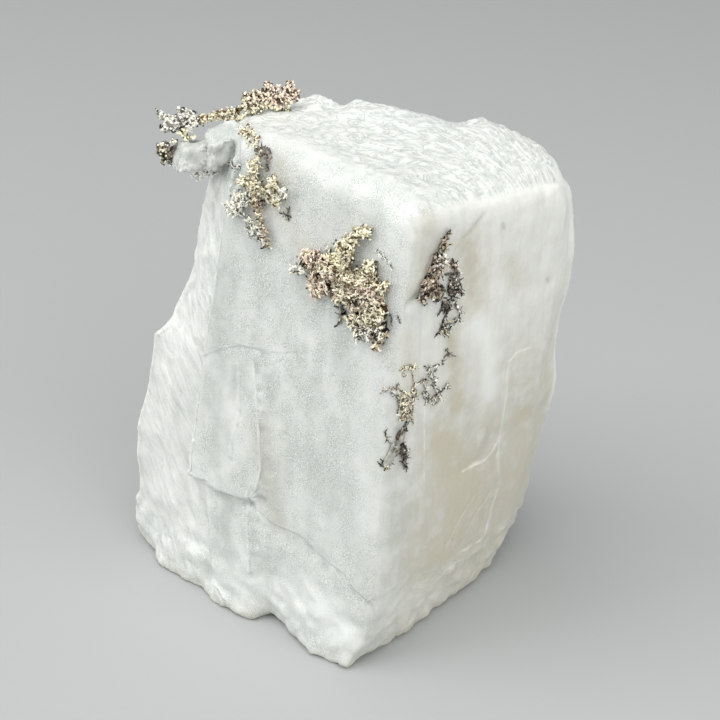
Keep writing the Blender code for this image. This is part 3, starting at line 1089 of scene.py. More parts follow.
    def apply(
        self, stroke: Stroke, surface: Surface, places: np.ndarray, normals: np.ndarray,
        drop: np.ndarray, fields: dict[str, np.ndarray],
    ) -> None:
        """Draws one stroke, only on ground that faces its way.

        Args:
            stroke: The stroke.
            surface: The block's skin before its relief.
            places: The points in mm.
            normals: Their outward directions.
            drop: How far each point moves, which is changed here.
            fields: The attributes, which are changed here.
        """
        line, outward = surface.line(stroke.places)
        if not line:
            return
        gap, side = self.distance(line, places, self.spill * stroke.width)
        facing = self.risen("stroke", normals @ np.array(outward))
        near = np.exp(-((gap / stroke.width) ** 2)) * facing
        if stroke.width < self.thin:
            near *= self.broken
        if stroke.kind is Trace.GROOVE:
            drop -= stroke.amount * near
        elif stroke.kind is Trace.RIDGE:
            drop += stroke.amount * near
        elif stroke.kind is Trace.LEDGE:
            run = np.clip(1 - gap / (self.ledge_run * stroke.width), 0, 1)
            drop -= stroke.amount * self.risen("lip", side) * run * self.broken
        else:
            name = stroke.kind.name.lower()
            fields[name] = np.clip(fields[name] + stroke.amount * near, 0, 1)

    def gap(
        self, surface: Surface, lines: tuple[Route, ...], places: np.ndarray, reach: float,
    ) -> np.ndarray:
        """Measures each point's distance from the nearest of some lines in the view, in mm."""
        return np.min([self.distance(surface.line(line)[0], places, reach)[0] for line in lines], 0)

    def distance(
        self, line: list[Vector], places: np.ndarray, reach: float,
    ) -> tuple[np.ndarray, np.ndarray]:
        """Measures how far each point is from a line, and on which side of it the point is.

        Args:
            line: The line's points in mm.
            places: The block's points in mm.
            reach: The distance past which nothing matters, in mm.

        Returns:
            The distance, and the same distance with the sign of the side, right being positive.
        """
        gap = np.full(len(places), FAR)
        side = np.full(len(places), -FAR)
        eye = np.array(self.view.position())
        corners = np.array(line)
        if len(corners) == 1:
            corners = np.vstack((corners, corners + 1e-4))
        middle = corners.mean(0)
        span = np.linalg.norm(corners - middle, axis=1).max() + reach
        chosen = np.where(np.linalg.norm(places - middle, axis=1) < span)[0]
        near = places[chosen]
        best = np.full(len(near), FAR)
        hand = np.full(len(near), -FAR)
        for start, end in zip(corners, corners[1:]):
            along = end - start
            share = np.clip((near - start) @ along / (along @ along), 0, 1)
            away = near - start - share[:, None] * along
            length = np.linalg.norm(away, axis=1)
            sign = np.sign(away @ np.cross(along, eye - start))
            closer = length < best
            best[closer] = length[closer]
            hand[closer] = (length * sign)[closer]
        gap[chosen] = best
        side[chosen] = hand
        return gap, side


class Tarnish(Enum):
    """The colours that native silver takes, from bright metal to black sulphide."""

    WHITE = ("#FFFFFA", "#564E40")
    PALE = ("#FFFDF2", "#2E271C")
    CREAM = ("#FFF7DE", "#40331C")
    PINK = ("#FBEAD6", "#4E3626")
    COPPER = ("#FFEAD4", "#38241A")
    GOLD = ("#FFF9DC", "#6C542C")
    OLIVE = ("#FFF9DC", "#483E22")
    GREY = ("#F4F4E8", "#30302A")
    BROWN = ("#D6C4AA", "#100A06")
    BLACK = ("#8E8476", "#0C0907")


@dataclass(frozen=True)
class Twig:
    """One twig of a fern, drawn as the camera sees it.

    Attributes:
        colour: Its tarnish.
        spread: How far its crystals stray to each side, in mm.
        rise: How far they stand off the ground, in mm.
        places: Its corners in the view.
        smooth: Whether it is a smooth blade with no curls on it.
    """

    colour: Tarnish
    spread: float
    rise: float
    places: Route
    smooth: bool = False


@dataclass(frozen=True)
class SilverFinish:
    """Native silver, grown as crystals and tarnished in air.

    Fresh silver mirrors; its thin sulphide film turns it gold, pink, brown and black, and leaves
    a satin shine. The colour of each crystal, its tarnish together with painted shade, is carried
    by an attribute.

    Attributes:
        name: The material's name.
        metallic: How much of the shine comes through the film, which scatters the rest.
        roughness: Satin, a little rough.
        film: The size of the patches of thicker film, in mm.
        thickness: Two values of their noise, and how bright the silver is at each.
    """

    name: str
    metallic: float
    roughness: float = 0.3
    film: float = 0.2
    thickness: Span = (0.35, 0.65, 0.88, 1.06)

    def material(self) -> bpy.types.Material:
        """Makes the material.

        Returns:
            The material.
        """
        material, tree = new_tree(self.name)
        tint = add_node(tree, "ShaderNodeAttribute", attribute_name="tarnish").outputs["Color"]
        place = add_node(tree, "ShaderNodeTexCoord").outputs["Object"]
        values = {"Scale": 1 / (self.film * MM), "Detail": 2.0}
        film = add_node(tree, "ShaderNodeTexNoise", values, {"Vector": place}).outputs[0]
        values = dict(zip(SPAN_SOCKETS, self.thickness))
        depth = add_node(tree, "ShaderNodeMapRange", values, {"Value": film}).outputs[0]
        colour = add_node(
            tree, "ShaderNodeVectorMath", links={0: tint, 1: depth}, operation="MULTIPLY",
        ).outputs[0]
        values = {"Metallic": self.metallic, "Roughness": self.roughness}
        shader = add_node(tree, "ShaderNodeBsdfPrincipled", values, {"Base Color": colour})
        add_node(tree, "ShaderNodeOutputMaterial", links={"Surface": shader.outputs[0]})
        return material


@dataclass(frozen=True)
class Habit:
    """The way in which a fern's crystals grow.

    Attributes:
        grain: A crystal's radius in mm.
        stretch: Its length over its width.
        links: The most crystals in one curl.
        cover: How many curls grow on a square mm of the solid's skin.
        core: How far the dark core, painted shade, lies under that skin, in mm; without a core it
            is None.
        reach: How many of a twig's spreads away from it curls still grow on the skin.
        comb: How strongly the curls follow their twig.
        flat: A crystal's thickness over its width.
        deep: How dark the outermost curls on the skin are, less than nothing for bright.
        aging: How often a crystal is more tarnished than those round it.
    """

    grain: float
    stretch: float = 2.0
    links: int = 3
    cover: float = 0.0
    core: float | None = None
    reach: float = 3.0
    comb: float = 0.5
    flat: float = 1.0
    deep: float = -0.3
    aging: float = 0.25


@dataclass
class SilverFern:
    """A fern of native silver: curls of small crystals along twigs and over a dark core of painted
    shade.

    Attributes:
        name: The piece's name, which is also its solid's name with no prefix.
        slot: The name of a material slot; not used.
        finish: Its material.
        block: The calcite's skin.
        carrier: What it is laid on.
        twigs: Its twigs.
        habit: How its crystals grow.
        seed: The seed of its growth.
        pitch: The step between crystals along a twig, in view units.
        tracing: The step in which twigs are searched for the nearest, in view units.
        shoots: How often a side shoot starts.
        units: How many view units a mm shows as.
        aged: How much more tarnished an aged crystal is.
        heart: The share of the habit's reach within which the core comes up from the calcite.
        core_shade: How bright the core's painted shade is, as a share of its twig's dark colour.
        mixing: How often a curl on the skin takes the tarnish of another twig.
        sinking: How many grains deep the curls on the skin start: the least, and how much more.
        dimming: How much darker the deepest of them are painted, as painted shade.
        group: How many curls are built in one mesh before it joins the rest.
        chance: Where its random draws come from.
        colours: The colours of its points so far.
    """

    name: str
    slot: str
    finish: SilverFinish
    block: Surface
    carrier: Carrier
    twigs: tuple[Twig, ...]
    habit: Habit
    seed: int
    pitch: float = 2.0
    tracing: float = 3.0
    shoots: float = 0.3
    units: float = 10.4
    aged: float = 0.9
    heart: float = 0.5
    core_shade: float = 0.35
    mixing: float = 0.3
    sinking: tuple[float, float] = (0.8, 2.0)
    dimming: float = 0.9
    group: int = 60
    chance: random.Random | None = field(default=None, init=False)
    colours: list[np.ndarray] = field(default_factory=list, init=False)

    def build(self) -> bpy.types.Object:
        """Returns:
            The finished object.
        """
        self.chance = random.Random(self.seed)
        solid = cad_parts["silver_" + self.name].data
        whole = bmesh.new()
        parts = [self.core(solid)] if self.habit.core is not None else []
        parts += [self.grow(twig) for twig in self.twigs]
        parts += self.cover(solid)
        for part in parts:
            scratch = bpy.data.meshes.new("scratch")
            part.to_mesh(scratch)
            part.free()
            whole.from_mesh(scratch)
            bpy.data.meshes.remove(scratch)
        mesh = bpy.data.meshes.new(self.name)
        whole.to_mesh(mesh)
        whole.free()
        # The tarnish attribute holds each crystal's tarnish together with its painted shade
        tint = mesh.attributes.new("tarnish", "FLOAT_COLOR", "POINT")
        tint.data.foreach_set("color", np.concatenate(self.colours).astype(np.float32).ravel())
        mesh.materials.append(self.finish.material())
        fern = bpy.data.objects.new(self.name, mesh)
        bpy.context.collection.objects.link(fern)
        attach(fern, "root")
        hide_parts("silver_" + self.name)
        LOG.info("%s: %d triangles", self.name, len(mesh.polygons))
        return fern

    def core(self, solid: bpy.types.Mesh) -> BMesh:
        """Copies the solid and draws it in, as a dark heart of painted shade between the crystals.

        Args:
            solid: The mesh of the solid that the fern stands for.

        Returns:
            The core's mesh.
        """
        bm = bmesh.new()
        bm.from_mesh(solid)
        bmesh.ops.remove_doubles(bm, verts=bm.verts, dist=MERGED)
        bmesh.ops.triangulate(bm, faces=bm.faces)
        bm.normal_update()
        found = self.nearest(np.array([vert.co / MM for vert in bm.verts]))
        tints = np.array([linear(twig.colour.value[1]) for twig, _, _ in found])
        # Painted shade: the core is painted a share of its twig's dark colour, darker still
        self.colours.append(tints * self.core_shade)
        normals = [vert.normal.copy() for vert in bm.verts]
        grown_on = self.carrier is self.block
        for vert, normal, (_, away, _) in zip(bm.verts, normals, found):
            near, outward, _, _ = self.block.tree.find_nearest(vert.co)
            outer = grown_on and away > self.habit.reach * self.heart
            if outer and (vert.co - near).dot(outward) > 0:
                vert.co = near - outward * self.habit.core * MM
            else:
                vert.co -= normal * self.habit.core * MM
        return bm

    def nearest(self, places: np.ndarray) -> list[tuple[Twig, float, Vector]]:
        """Finds the twig that shows nearest to each point, thick twigs reaching further.

        Args:
            places: The points in mm, one a row.

        Returns:
            For each point the twig, how many of its spreads lie between, and its heading.
        """
        corners = []
        for twig in self.twigs:
            line = stepped(twig.places, self.tracing)
            for start, end in zip(line, line[1:]):
                heading = Vector((end[0] - start[0], 0, start[1] - end[1])).normalized()
                corners.append((end, twig.spread * self.units, twig, heading))
        drawn = np.array([corner[0] for corner in corners])
        spread = np.array([corner[1] for corner in corners])
        found = []
        for place in self.block.view.seen(places):
            away = np.hypot(*(drawn - place).T) / spread
            best = int(np.argmin(away))
            found.append((corners[best][2], away[best], corners[best][3]))
        return found

    def cover(self, solid: bpy.types.Mesh) -> list[BMesh]:
        """Scatters curls over the solid's skin, where it stands out of the calcite.

        Args:
            solid: The mesh of the solid that the fern stands for.

        Returns:
            The curls' meshes, in groups.
        """
        areas = [face.area / MM ** 2 for face in solid.polygons]
        count = round(sum(areas) * self.habit.cover)
        if count == 0:
            return []
        spots = []
        for face in self.chance.choices(solid.polygons, weights=areas, k=count):
            corners = [solid.vertices[index].co for index in face.vertices]
            first, second = sorted((self.chance.random(), self.chance.random()))
            point = corners[0] * first + corners[1] * (second - first) + corners[2] * (1 - second)
            near, normal, _, _ = self.block.tree.find_nearest(point)
            if (point - near).dot(normal) > 0:
                spots.append((point / MM, face.normal.copy()))
        found = self.nearest(np.array([point for point, _ in spots]))
        kept = [
            (*spot, twig.colour, heading) for spot, (twig, away, heading) in zip(spots, found)
            if away < self.habit.reach and not twig.smooth
        ]
        groups = []
        grain = self.habit.grain
        for start in range(0, len(kept), self.group):
            bm = bmesh.new()
            for point, outward, tint, heading in kept[start:start + self.group]:
                if self.chance.random() < self.mixing:
                    tint = self.chance.choice(self.twigs).colour
                # Painted shade: the deeper a curl starts under the skin, the darker it is painted
                sunk = self.chance.random()
                shade = sunk * self.dimming + self.habit.deep
                depth = grain * (self.sinking[0] + self.sinking[1] * sunk)
                way = self.drawn_to(heading * self.habit.comb, outward)
                self.curl(bm, point - outward * depth, way, outward, grain, tint, shade)
            groups.append(bm)
        return groups

    def grow(self, twig: Twig) -> BMesh:
        """Sets crystals along one twig: a dark stem, brighter curls and short side shoots, painted
        darker low down as painted shade.

        Args:
            twig: The twig.

        Returns:
            The twig's mesh.
        """
        bm = bmesh.new()
        grain = self.habit.grain
        size = grain * min(1.0, 0.6 + 3 * twig.spread)
        curls = 1 + round(twig.spread * 14)
        laid = [found for found in map(self.carrier.lay, stepped(twig.places, self.pitch)) if found]
        for index, (point, outward) in enumerate(laid):
            before, after = laid[max(0, index - 1)][0], laid[min(len(laid) - 1, index + 1)][0]
            along = (after - before).normalized() if (after - before).length > 0 else outward
            if twig.smooth:
                self.blade(bm, point + outward * twig.rise, along, twig)
                continue
            # Painted shade: the stem is painted in the full dark colour, as the shade under the
            # curls
            stem = point + outward * size * 0.7
            self.crystal(bm, stem, along, size * 0.9, twig.colour, 1.0)
            for _ in range(curls):
                stray = self.stray(outward, twig.spread * 1.4)
                height = size * 0.8 + twig.rise * self.chance.random() ** 0.8
                # Painted shade: the lower a curl stands, the darker it is painted
                shade = 0.5 - 0.7 * height / (size + twig.rise)
                way = self.drawn_to(along * self.habit.comb, outward)
                start = point + stray + outward * height
                self.curl(bm, start, way, outward, size, twig.colour, shade)
            if self.chance.random() < self.shoots:
                self.shoot(bm, point, outward, twig, size)
        return bm

    def shoot(
        self, bm: BMesh, point: Vector, outward: Vector, twig: Twig, size: float,
    ) -> None:
        """Sets a short row of shrinking crystals that leaves the twig sideways.

        Args:
            bm: The mesh that takes the crystals.
            point: Where the shoot starts, in mm.
            outward: The direction off the ground there.
            twig: The twig.
            size: The first crystal's radius, in mm.
        """
        way = self.stray(outward, 1.0).normalized()
        way = (way + outward * self.chance.uniform(0.0, 0.5)).normalized()
        start = point + outward * (size + twig.rise * self.chance.uniform(0.1, 0.7))
        for step in range(1, self.chance.randint(2, 4) + 1):
            start = start + way * size * self.habit.stretch
            # Painted shade: each crystal further out along the shoot is painted brighter
            self.crystal(bm, start, way, size, twig.colour, 0.5 - 0.12 * step)
            size *= 0.85

    def curl(
        self, bm: BMesh, start: Vector, way: Vector, outward: Vector, size: float,
        colour: Tarnish, shade: float,
    ) -> None:
        """Adds a few crystals in a bent row, as grown wire is.

        Args:
            bm: The mesh that takes them.
            start: Where the row starts, in mm.
            way: The way in which it starts.
            outward: The direction off the ground.
            size: A crystal's radius in mm.
            colour: Its tarnish.
            shade: 0 for the bright colour and 1 for the dark one.
        """
        angle = self.chance.choice((-1, 1)) * self.chance.uniform(0.5, 1.1)
        bend = Matrix.Rotation(angle, 3, outward)
        way = (way + outward * self.chance.gauss(0.0, 0.35)).normalized()
        size *= self.chance.uniform(0.7, 1.1)
        for _ in range(self.chance.randint(1, self.habit.links)):
            self.crystal(bm, start, way, size, colour, shade)
            start = start + way * size * self.habit.stretch * 0.8
            way = bend @ way
            start = start + way * size * self.habit.stretch * 0.5

    def stray(self, outward: Vector, reach: float) -> Vector:
        """Picks a random step along the ground, about half the reach along each axis."""
        step = Vector([self.chance.gauss(0, 0.5) for _ in range(3)]) * reach
        return step - outward * step.dot(outward)

    def drawn_to(self, pull: Vector, outward: Vector) -> Vector:
        """Picks a random way along the ground, pulled towards another by its length."""
        return (self.stray(outward, 1.0).normalized() + pull).normalized()

    def paint(self, count: int, colour: Tarnish, share: float) -> None:
        """Keeps the colour of the points made last; a share of 1 is the dark colour."""
        bright, dark = (np.array(linear(name)) for name in colour.value)
        self.colours.append(np.tile(bright + (dark - bright) * share, (count, 1)))

    @staticmethod
    def kept_in(centre: Vector, reach: float) -> Vector:
        """Moves a crystal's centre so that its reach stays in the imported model's box, in mm."""
        low, high = (Vector(corner) / MM for corner in CAD_BOX)
        return Vector([min(max(c, a + reach), b - reach) for c, a, b in zip(centre, low, high)])

    def blade(self, bm: BMesh, centre: Vector, along: Vector, twig: Twig) -> None:
        """Adds one smooth length of a blade, long enough to run into the next one.

        Args:
            bm: The mesh that takes it.
            centre: Its centre in mm.
            along: The way in which the blade runs.
            twig: The blade's twig.
        """
        size = twig.spread * self.chance.uniform(0.9, 1.1)
        shape = Vector((size, size, size * self.habit.stretch))
        turn = along.to_track_quat("Z", "Y")
        place = Matrix.LocRotScale(self.kept_in(centre, shape.z) * MM, turn, shape * MM)
        made = bmesh.ops.create_icosphere(bm, subdivisions=2, radius=1.0, matrix=place)
        self.paint(len(made["verts"]), twig.colour, self.chance.uniform(0.5, 0.65))

    def crystal(
        self, bm: BMesh, centre: Vector, way: Vector, size: float, colour: Tarnish,
        shade: float,
    ) -> None:
        """Adds one small faceted crystal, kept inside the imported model's box.

        Args:
            bm: The mesh that takes it.
            centre: Its centre in mm.
            way: The way in which it is long.
            size: Its radius in mm.
            colour: Its tarnish.
            shade: 0 for the bright colour and 1 for the dark one.
        """
        kept = self.kept_in(centre, size * self.habit.stretch * 1.15)
        roll = Matrix.Rotation(self.chance.uniform(0, math.tau), 3, way)
        turn = (roll @ way.to_track_quat("Z", "Y").to_matrix()).to_quaternion()
        stretch = Vector((
            self.habit.flat * self.chance.uniform(0.7, 1.0), self.chance.uniform(0.8, 1.15),
            self.habit.stretch * self.chance.uniform(0.8, 1.1),
        ))
        place = Matrix.LocRotScale(kept * MM, turn, stretch * size * MM)
        made = bmesh.ops.create_icosphere(bm, subdivisions=1, radius=1.0, matrix=place)
        aged = self.aged if self.chance.random() < self.habit.aging else 0.0
        share = min(1.0, max(0.0, shade + aged + self.chance.gauss(0, 0.1)))
        self.paint(len(made["verts"]), colour, share)


@dataclass
class Studio:
    """A plain pale floor and plain soft light.

    Attributes:
        view: The camera's viewpoint.
        floor_colour: The floor's colour.
        floor_side: The floor's side in metres.
        room_colour: The colour of the light from all round.
        room_strength: Its strength.
        lamps: Each soft light's name, place and side in metres, and power in watts.
    """

    view: Viewpoint
    floor_colour: str = "#ABADAD"
    floor_side: float = 6.0
    room_colour: str = "#ECEEEB"
    room_strength: float = 0.385
    lamps: tuple[tuple[str, tuple[float, float, float], float, float], ...] = (
        ("key", (-0.07, -0.10, 0.50), 0.45, 2.16),
        ("side", (-0.50, -0.04, 0.22), 0.40, 1.44),
        ("fill", (0.36, -0.42, 0.26), 0.60, 2.5),
    )

    def build(self) -> None:
        """Adds the floor, the lights, the surroundings and the camera."""
        self.view.build()
        self.floor()
        for lamp in self.lamps:
            self.lamp(*lamp)
        self.surroundings()
        bpy.context.scene.view_settings.view_transform = "Standard"

    def floor(self) -> None:
        """Adds the floor, just under the block."""
        bm = bmesh.new()
        bmesh.ops.create_grid(bm, x_segments=1, y_segments=1, size=self.floor_side / 2)
        mesh = bpy.data.meshes.new("floor")
        bm.to_mesh(mesh)
        bm.free()
        material, tree = new_tree("painted_board")
        place = add_node(tree, "ShaderNodeTexCoord").outputs["Object"]
        values = {"Scale": 900.0, "Detail": 3.0}  # Brushed paint, its grain a little over 1 mm
        grain = add_node(tree, "ShaderNodeTexNoise", values, {"Vector": place}).outputs[0]
        values = {"Distance": 0.05 * MM, "Strength": 0.3}
        normal = add_node(tree, "ShaderNodeBump", values, {"Height": grain}).outputs[0]
        values = {"Base Color": linear(self.floor_colour), "Roughness": 0.8}
        shader = add_node(tree, "ShaderNodeBsdfPrincipled", values, {"Normal": normal})
        add_node(tree, "ShaderNodeOutputMaterial", links={"Surface": shader.outputs[0]})
        mesh.materials.append(material)
        board = bpy.data.objects.new("floor", mesh)
        bpy.context.collection.objects.link(board)

    @staticmethod
    def lamp(name: str, place: tuple[float, float, float], side: float, power: float) -> None:
        """Adds one square soft white light, aimed at the block's middle.

        Args:
            name: Its name.
            place: Where it hangs, in metres.
            side: Its side in metres.
            power: Its power in watts.
        """
        data = bpy.data.lights.new(name, "AREA")
        data.shape = "SQUARE"
        data.size = side
        data.energy = power
        light = bpy.data.objects.new(name, data)
        light.location = place
        aim = Vector((0, 0, 0.03)) - Vector(place)
        light.rotation_euler = aim.to_track_quat("-Z", "Y").to_euler()
        bpy.context.collection.objects.link(light)

    def surroundings(self) -> None:
        """Gives the room an even pale light."""
        world = bpy.data.worlds.new("room")
        world.use_nodes = True
        background = world.node_tree.nodes["Background"]
        background.inputs["Color"].default_value = linear(self.room_colour)
        background.inputs["Strength"].default_value = self.room_strength
        bpy.context.scene.world = world


def paired(route: Flat) -> Route:
    """Takes a route's numbers two by two, across and down."""
    return tuple(zip(route[::2], route[1::2]))


def marks(route: Flat, shift: int = 0, **looks: tuple[float, float]) -> tuple[Stroke, ...]:
    """Draws strokes along a route, moved to its right: each kind with its amount and width."""
    places = tuple((across + shift, down) for across, down in paired(route))
    return tuple(Stroke(Trace[kind], *look, places) for kind, look in looks.items())


def twigs(
    colour: Tarnish, spread: float, rise: float, *routes: Flat, smooth: bool = False,
) -> tuple[Twig, ...]:
    """Makes twigs of one colour, with their spread and rise in mm, one along each route."""
    return tuple(Twig(colour, spread, rise, paired(route), smooth) for route in routes)


RIM = (256, 132, 300, 150, 346, 168, 395, 189, 428, 205)
V_LEFT = (255, 510, 275, 525, 300, 535, 320, 555, 345, 575, 355, 590, 368, 602)
V_RIGHT = (368, 602, 385, 595, 400, 583, 420, 575, 450, 565, 480, 555)
PLATE_RIGHT = (248, 498, 255, 490, 260, 470, 258, 430, 255, 390, 252, 356)
PLATE_FOOT = (193, 477, 205, 480, 215, 490, 240, 498, 250, 498)
PLATE_MIDDLE = (232, 370, 228, 420, 222, 470)
FLANK = (223, 225, 219, 262, 215, 298, 208, 330, 201, 380, 196, 425, 192, 475)
STRIP = (226, 505, 228, 535, 229, 565)
PLATE_SHADOW = (264, 430, 267, 470, 270, 500, 278, 522)
STEP = (530, 348, 517, 353, 509, 362, 506, 378, 505, 400, 502, 425, 499, 447, 498, 475)
STEP_FOOT = STEP[6:]
CURVE = (497, 445, 493, 453, 486, 460, 476, 464, 464, 471)
CHIP = (497, 490, 492, 508, 489, 522, 485, 534, 479, 541, 470, 546, 458, 554)
CHIP_LOW = (405, 590, 440, 577, 460, 562, 490, 540, 500, 530, 515, 520)
CRACK = (402, 316, 400, 335, 397, 352, 394, 372)
SLANT = (402, 316, 412, 303, 425, 288, 436, 262, 447, 234)

STROKES = (
    # The worn rim of the front face is etched, and painted greyer than the top: painted shade that
    # takes back the light the rim catches from the key lamp
    *marks(RIM, FROST=(0.3, 2.6), VEIL=(0.65, 1.3)),
    # The foot of the front face: a crack in a V, with the ground below it broken away, and a
    # painted highlight along the crack's lit edge
    *marks(V_LEFT, LEDGE=(0.3, 0.9), WHITE=(0.7, 0.12)),
    *marks(V_RIGHT, LEDGE=(0.22, 0.9), WHITE=(0.6, 0.12)),
    *marks((240, 580, 300, 600, 350, 640), WHITE=(0.6, 3.0)),
    *marks((300, 505, 360, 540), WHITE=(0.25, 3.0)),
    *marks((385, 605, 430, 600), WHITE=(0.3, 2.5)),
    *marks((306, 545, 326, 556), VEIL=(0.3, 0.9)),
    *marks((318, 585, 330, 605, 345, 628), GROOVE=(0.12, 0.5)),
    *marks((292, 585, 303, 605, 312, 622), GROOVE=(0.12, 0.5)),
    *marks((303, 578, 316, 600, 328, 622), RIDGE=(0.12, 0.5)),
    *marks((303, 578, 328, 622), WHITE=(0.35, 0.9)),
    *marks((335, 605, 352, 645), WHITE=(0.3, 1.2)),
    *marks((252, 575, 262, 560, 270, 585), VEIL=(0.3, 0.8)),
    # The plate: its edges with painted highlights along them and a painted shadow under its foot,
    # its inner cleavage line, a pit painted dark as painted shade, and smooth grey ground
    *marks(PLATE_RIGHT, LEDGE=(0.2, 1.0), WHITE=(0.5, 0.12)),
    *marks(PLATE_FOOT, LEDGE=(0.3, 0.9), WHITE=(0.8, 0.12)),
    *marks((207, 486, 216, 494, 243, 503), VEIL=(0.7, 0.35)),
    *marks(PLATE_MIDDLE, FROST=(-0.6, 2.0), VEIL=(-0.1, 2.4)),
    *marks((238, 363, 237, 417, 230, 443, 230, 458), WHITE=(0.5, 0.2)),
    *marks((241, 366, 240, 417, 233, 443, 232, 458), GROOVE=(0.1, 0.2)),
    *marks((231, 459, 231, 461), GROOVE=(0.2, 0.25), VEIL=(0.6, 0.25)),
    *marks((207, 354, 222, 348, 240, 345, 265, 350, 296, 351), WHITE=(0.35, 0.12)),
    *marks((207, 354, 222, 348, 240, 345, 257, 350), LEDGE=(0.12, 0.8)),
    *marks((240, 345, 265, 350, 278, 353, 296, 351), LEDGE=(0.08, 0.8)),
    *marks((296, 351, 297, 372), GROOVE=(0.08, 0.3)),
    # Beside the plate: the hollow at its right painted olive-grey as its painted shadow, painted
    # shadow along its right edge and below the strip's ledge, the flank's edge painted dark and
    # light as painted shade and highlight, and the smooth strip below the plate
    *marks(PLATE_SHADOW, WARM=(0.35, 1.8), VEIL=(0.3, 1.2), FROST=(-0.4, 1.8)),
    *marks((264, 470, 258, 490, 251, 500), VEIL=(0.6, 0.3)),
    *marks(PLATE_RIGHT, shift=3, VEIL=(0.35, 0.25)),
    *marks(FLANK, VEIL=(0.45, 0.2)),
    *marks(FLANK, shift=-3, WHITE=(0.4, 0.25)),
    *marks(STRIP, FROST=(-0.6, 1.5), VEIL=(0.3, 1.4)),
    *marks((249, 572, 247, 535, 247, 500), LEDGE=(0.25, 1.3)),
    *marks((251, 520, 253, 572), VEIL=(0.45, 0.5)),
    *marks((264, 528, 270, 548, 276, 570), GROOVE=(0.1, 0.4)),
    # Broad tones of the front face
    *marks((232, 215, 216, 340, 207, 400), VEIL=(0.3, 1.8), FROST=(-0.3, 1.8)),
    *marks((300, 380, 315, 430, 310, 480), VEIL=(0.2, 2.4)),
    *marks((372, 345, 366, 430, 370, 520), WHITE=(0.4, 1.9)),
    *marks((280, 205, 300, 240), WARM=(0.4, 1.5)),
    *marks((277, 160, 285, 180), WARM=(0.4, 1.0)),
    # The crack and the grooves beside the front edge, painted dark along them as painted shade, and
    # the frosted tongue between them
    *marks(CRACK, GROOVE=(0.3, 0.45), VEIL=(0.8, 0.5)),
    *marks(SLANT, GROOVE=(0.32, 0.5), VEIL=(0.5, 0.4)),
    *marks((412, 318, 425, 302, 434, 285), VEIL=(0.5, 1.1)),
    *marks((408, 340, 412, 380), WARM=(0.35, 1.2)),
    *marks((395, 245, 401, 275, 402, 306), FROST=(0.8, 1.0)),
    *marks((392, 235, 400, 262, 402, 306), WHITE=(0.4, 0.9)),
    *marks((404, 312, 409, 285, 409, 250, 408, 225), LEDGE=(0.18, 0.8)),
    *marks((245, 142, 240, 172, 236, 200), GROOVE=(0.12, 0.5), VEIL=(0.4, 0.3)),
    # The facet right of the front edge, and the slanting cracks above the outer spike, painted dark
    # along them as painted shade
    *marks((428, 222, 426, 255, 416, 290), VEIL=(0.2, 1.6), WARM=(0.45, 1.6)),
    *marks((487, 213, 472, 230, 455, 252), GROOVE=(0.14, 0.35), VEIL=(0.6, 0.35)),
    *marks((478, 200, 468, 212, 452, 222), VEIL=(0.3, 0.3)),
    *marks((466, 248, 474, 275, 470, 300), WARM=(0.45, 2.2)),
    *marks((466, 248, 470, 268), VEIL=(0.4, 1.0)),
    *marks((510, 266, 518, 280), WARM=(0.3, 1.3)),
    # Cleavage steps and streaks of the right face, with painted highlights along the steps' edges,
    # painted shade in the grooves between the chips, a painted shadow under the outer spike and a
    # painted rim light along the right edge
    *marks(STEP, LEDGE=(0.14, 1.1)),
    *marks(STEP_FOOT, WHITE=(0.35, 0.22)),
    *marks(CURVE, LEDGE=(0.14, 0.8), WHITE=(0.35, 0.2)),
    *marks(CHIP, LEDGE=(0.15, 0.9), WHITE=(0.25, 0.22)),
    *marks(CHIP_LOW, LEDGE=(0.2, 1.0), WHITE=(0.25, 0.25)),
    *marks((490, 492, 476, 512, 458, 548), GROOVE=(0.1, 0.2)),
    *marks((480, 486, 462, 515, 446, 545), GROOVE=(0.1, 0.2)),
    *marks((490, 492, 476, 512, 458, 548), VEIL=(0.35, 0.25)),
    *marks((492, 420, 486, 440, 478, 458), VEIL=(0.6, 0.5)),
    *marks((425, 397, 424, 440, 424, 490), WHITE=(0.45, 0.13)),
    *marks((478, 325, 488, 345, 490, 395), WHITE=(0.7, 1.3)),
    *marks((450, 335, 456, 365, 456, 405), VEIL=(0.45, 0.8), WARM=(0.5, 0.9)),
    *marks((440, 440, 470, 490, 450, 540), WARM=(0.45, 2.0), VEIL=(0.25, 1.8)),
    *marks((528, 412, 518, 419), VEIL=(0.55, 0.8), WARM=(0.5, 0.9)),
    *marks((512, 505, 500, 522), VEIL=(0.5, 0.9)),
    *marks((571, 200, 573, 262, 563, 320, 558, 372, 545, 430, 528, 500), WHITE=(0.7, 0.8)),
    *marks((503, 224, 504, 228), VEIL=(0.8, 0.25)),
    *marks((548, 279, 549, 282), VEIL=(0.8, 0.25)),
    # Tones of the small rhombs and the seams between them, painted as light and shade: part of the
    # right rhomb's top greyed and the seams darkened as painted shade, its front faces and the top
    # sliver lightened as painted light
    *marks((204, 138, 216, 136, 226, 134), VEIL=(0.75, 0.8)),
    *marks((206, 156, 216, 160, 224, 156), WHITE=(0.6, 0.9)),
    *marks((204, 150, 211, 154, 218, 157), GROOVE=(0.2, 0.3), VEIL=(0.9, 0.4)),
    *marks((231, 134, 225, 145, 220, 153), GROOVE=(0.15, 0.3), VEIL=(0.7, 0.35)),
    *marks((183, 146, 196, 148, 204, 158), VEIL=(0.6, 0.5)),
    *marks((200, 126, 212, 124, 226, 121), WHITE=(0.8, 0.5)),
    *marks((180, 167, 196, 166, 203, 162), WHITE=(0.8, 0.35)),
)


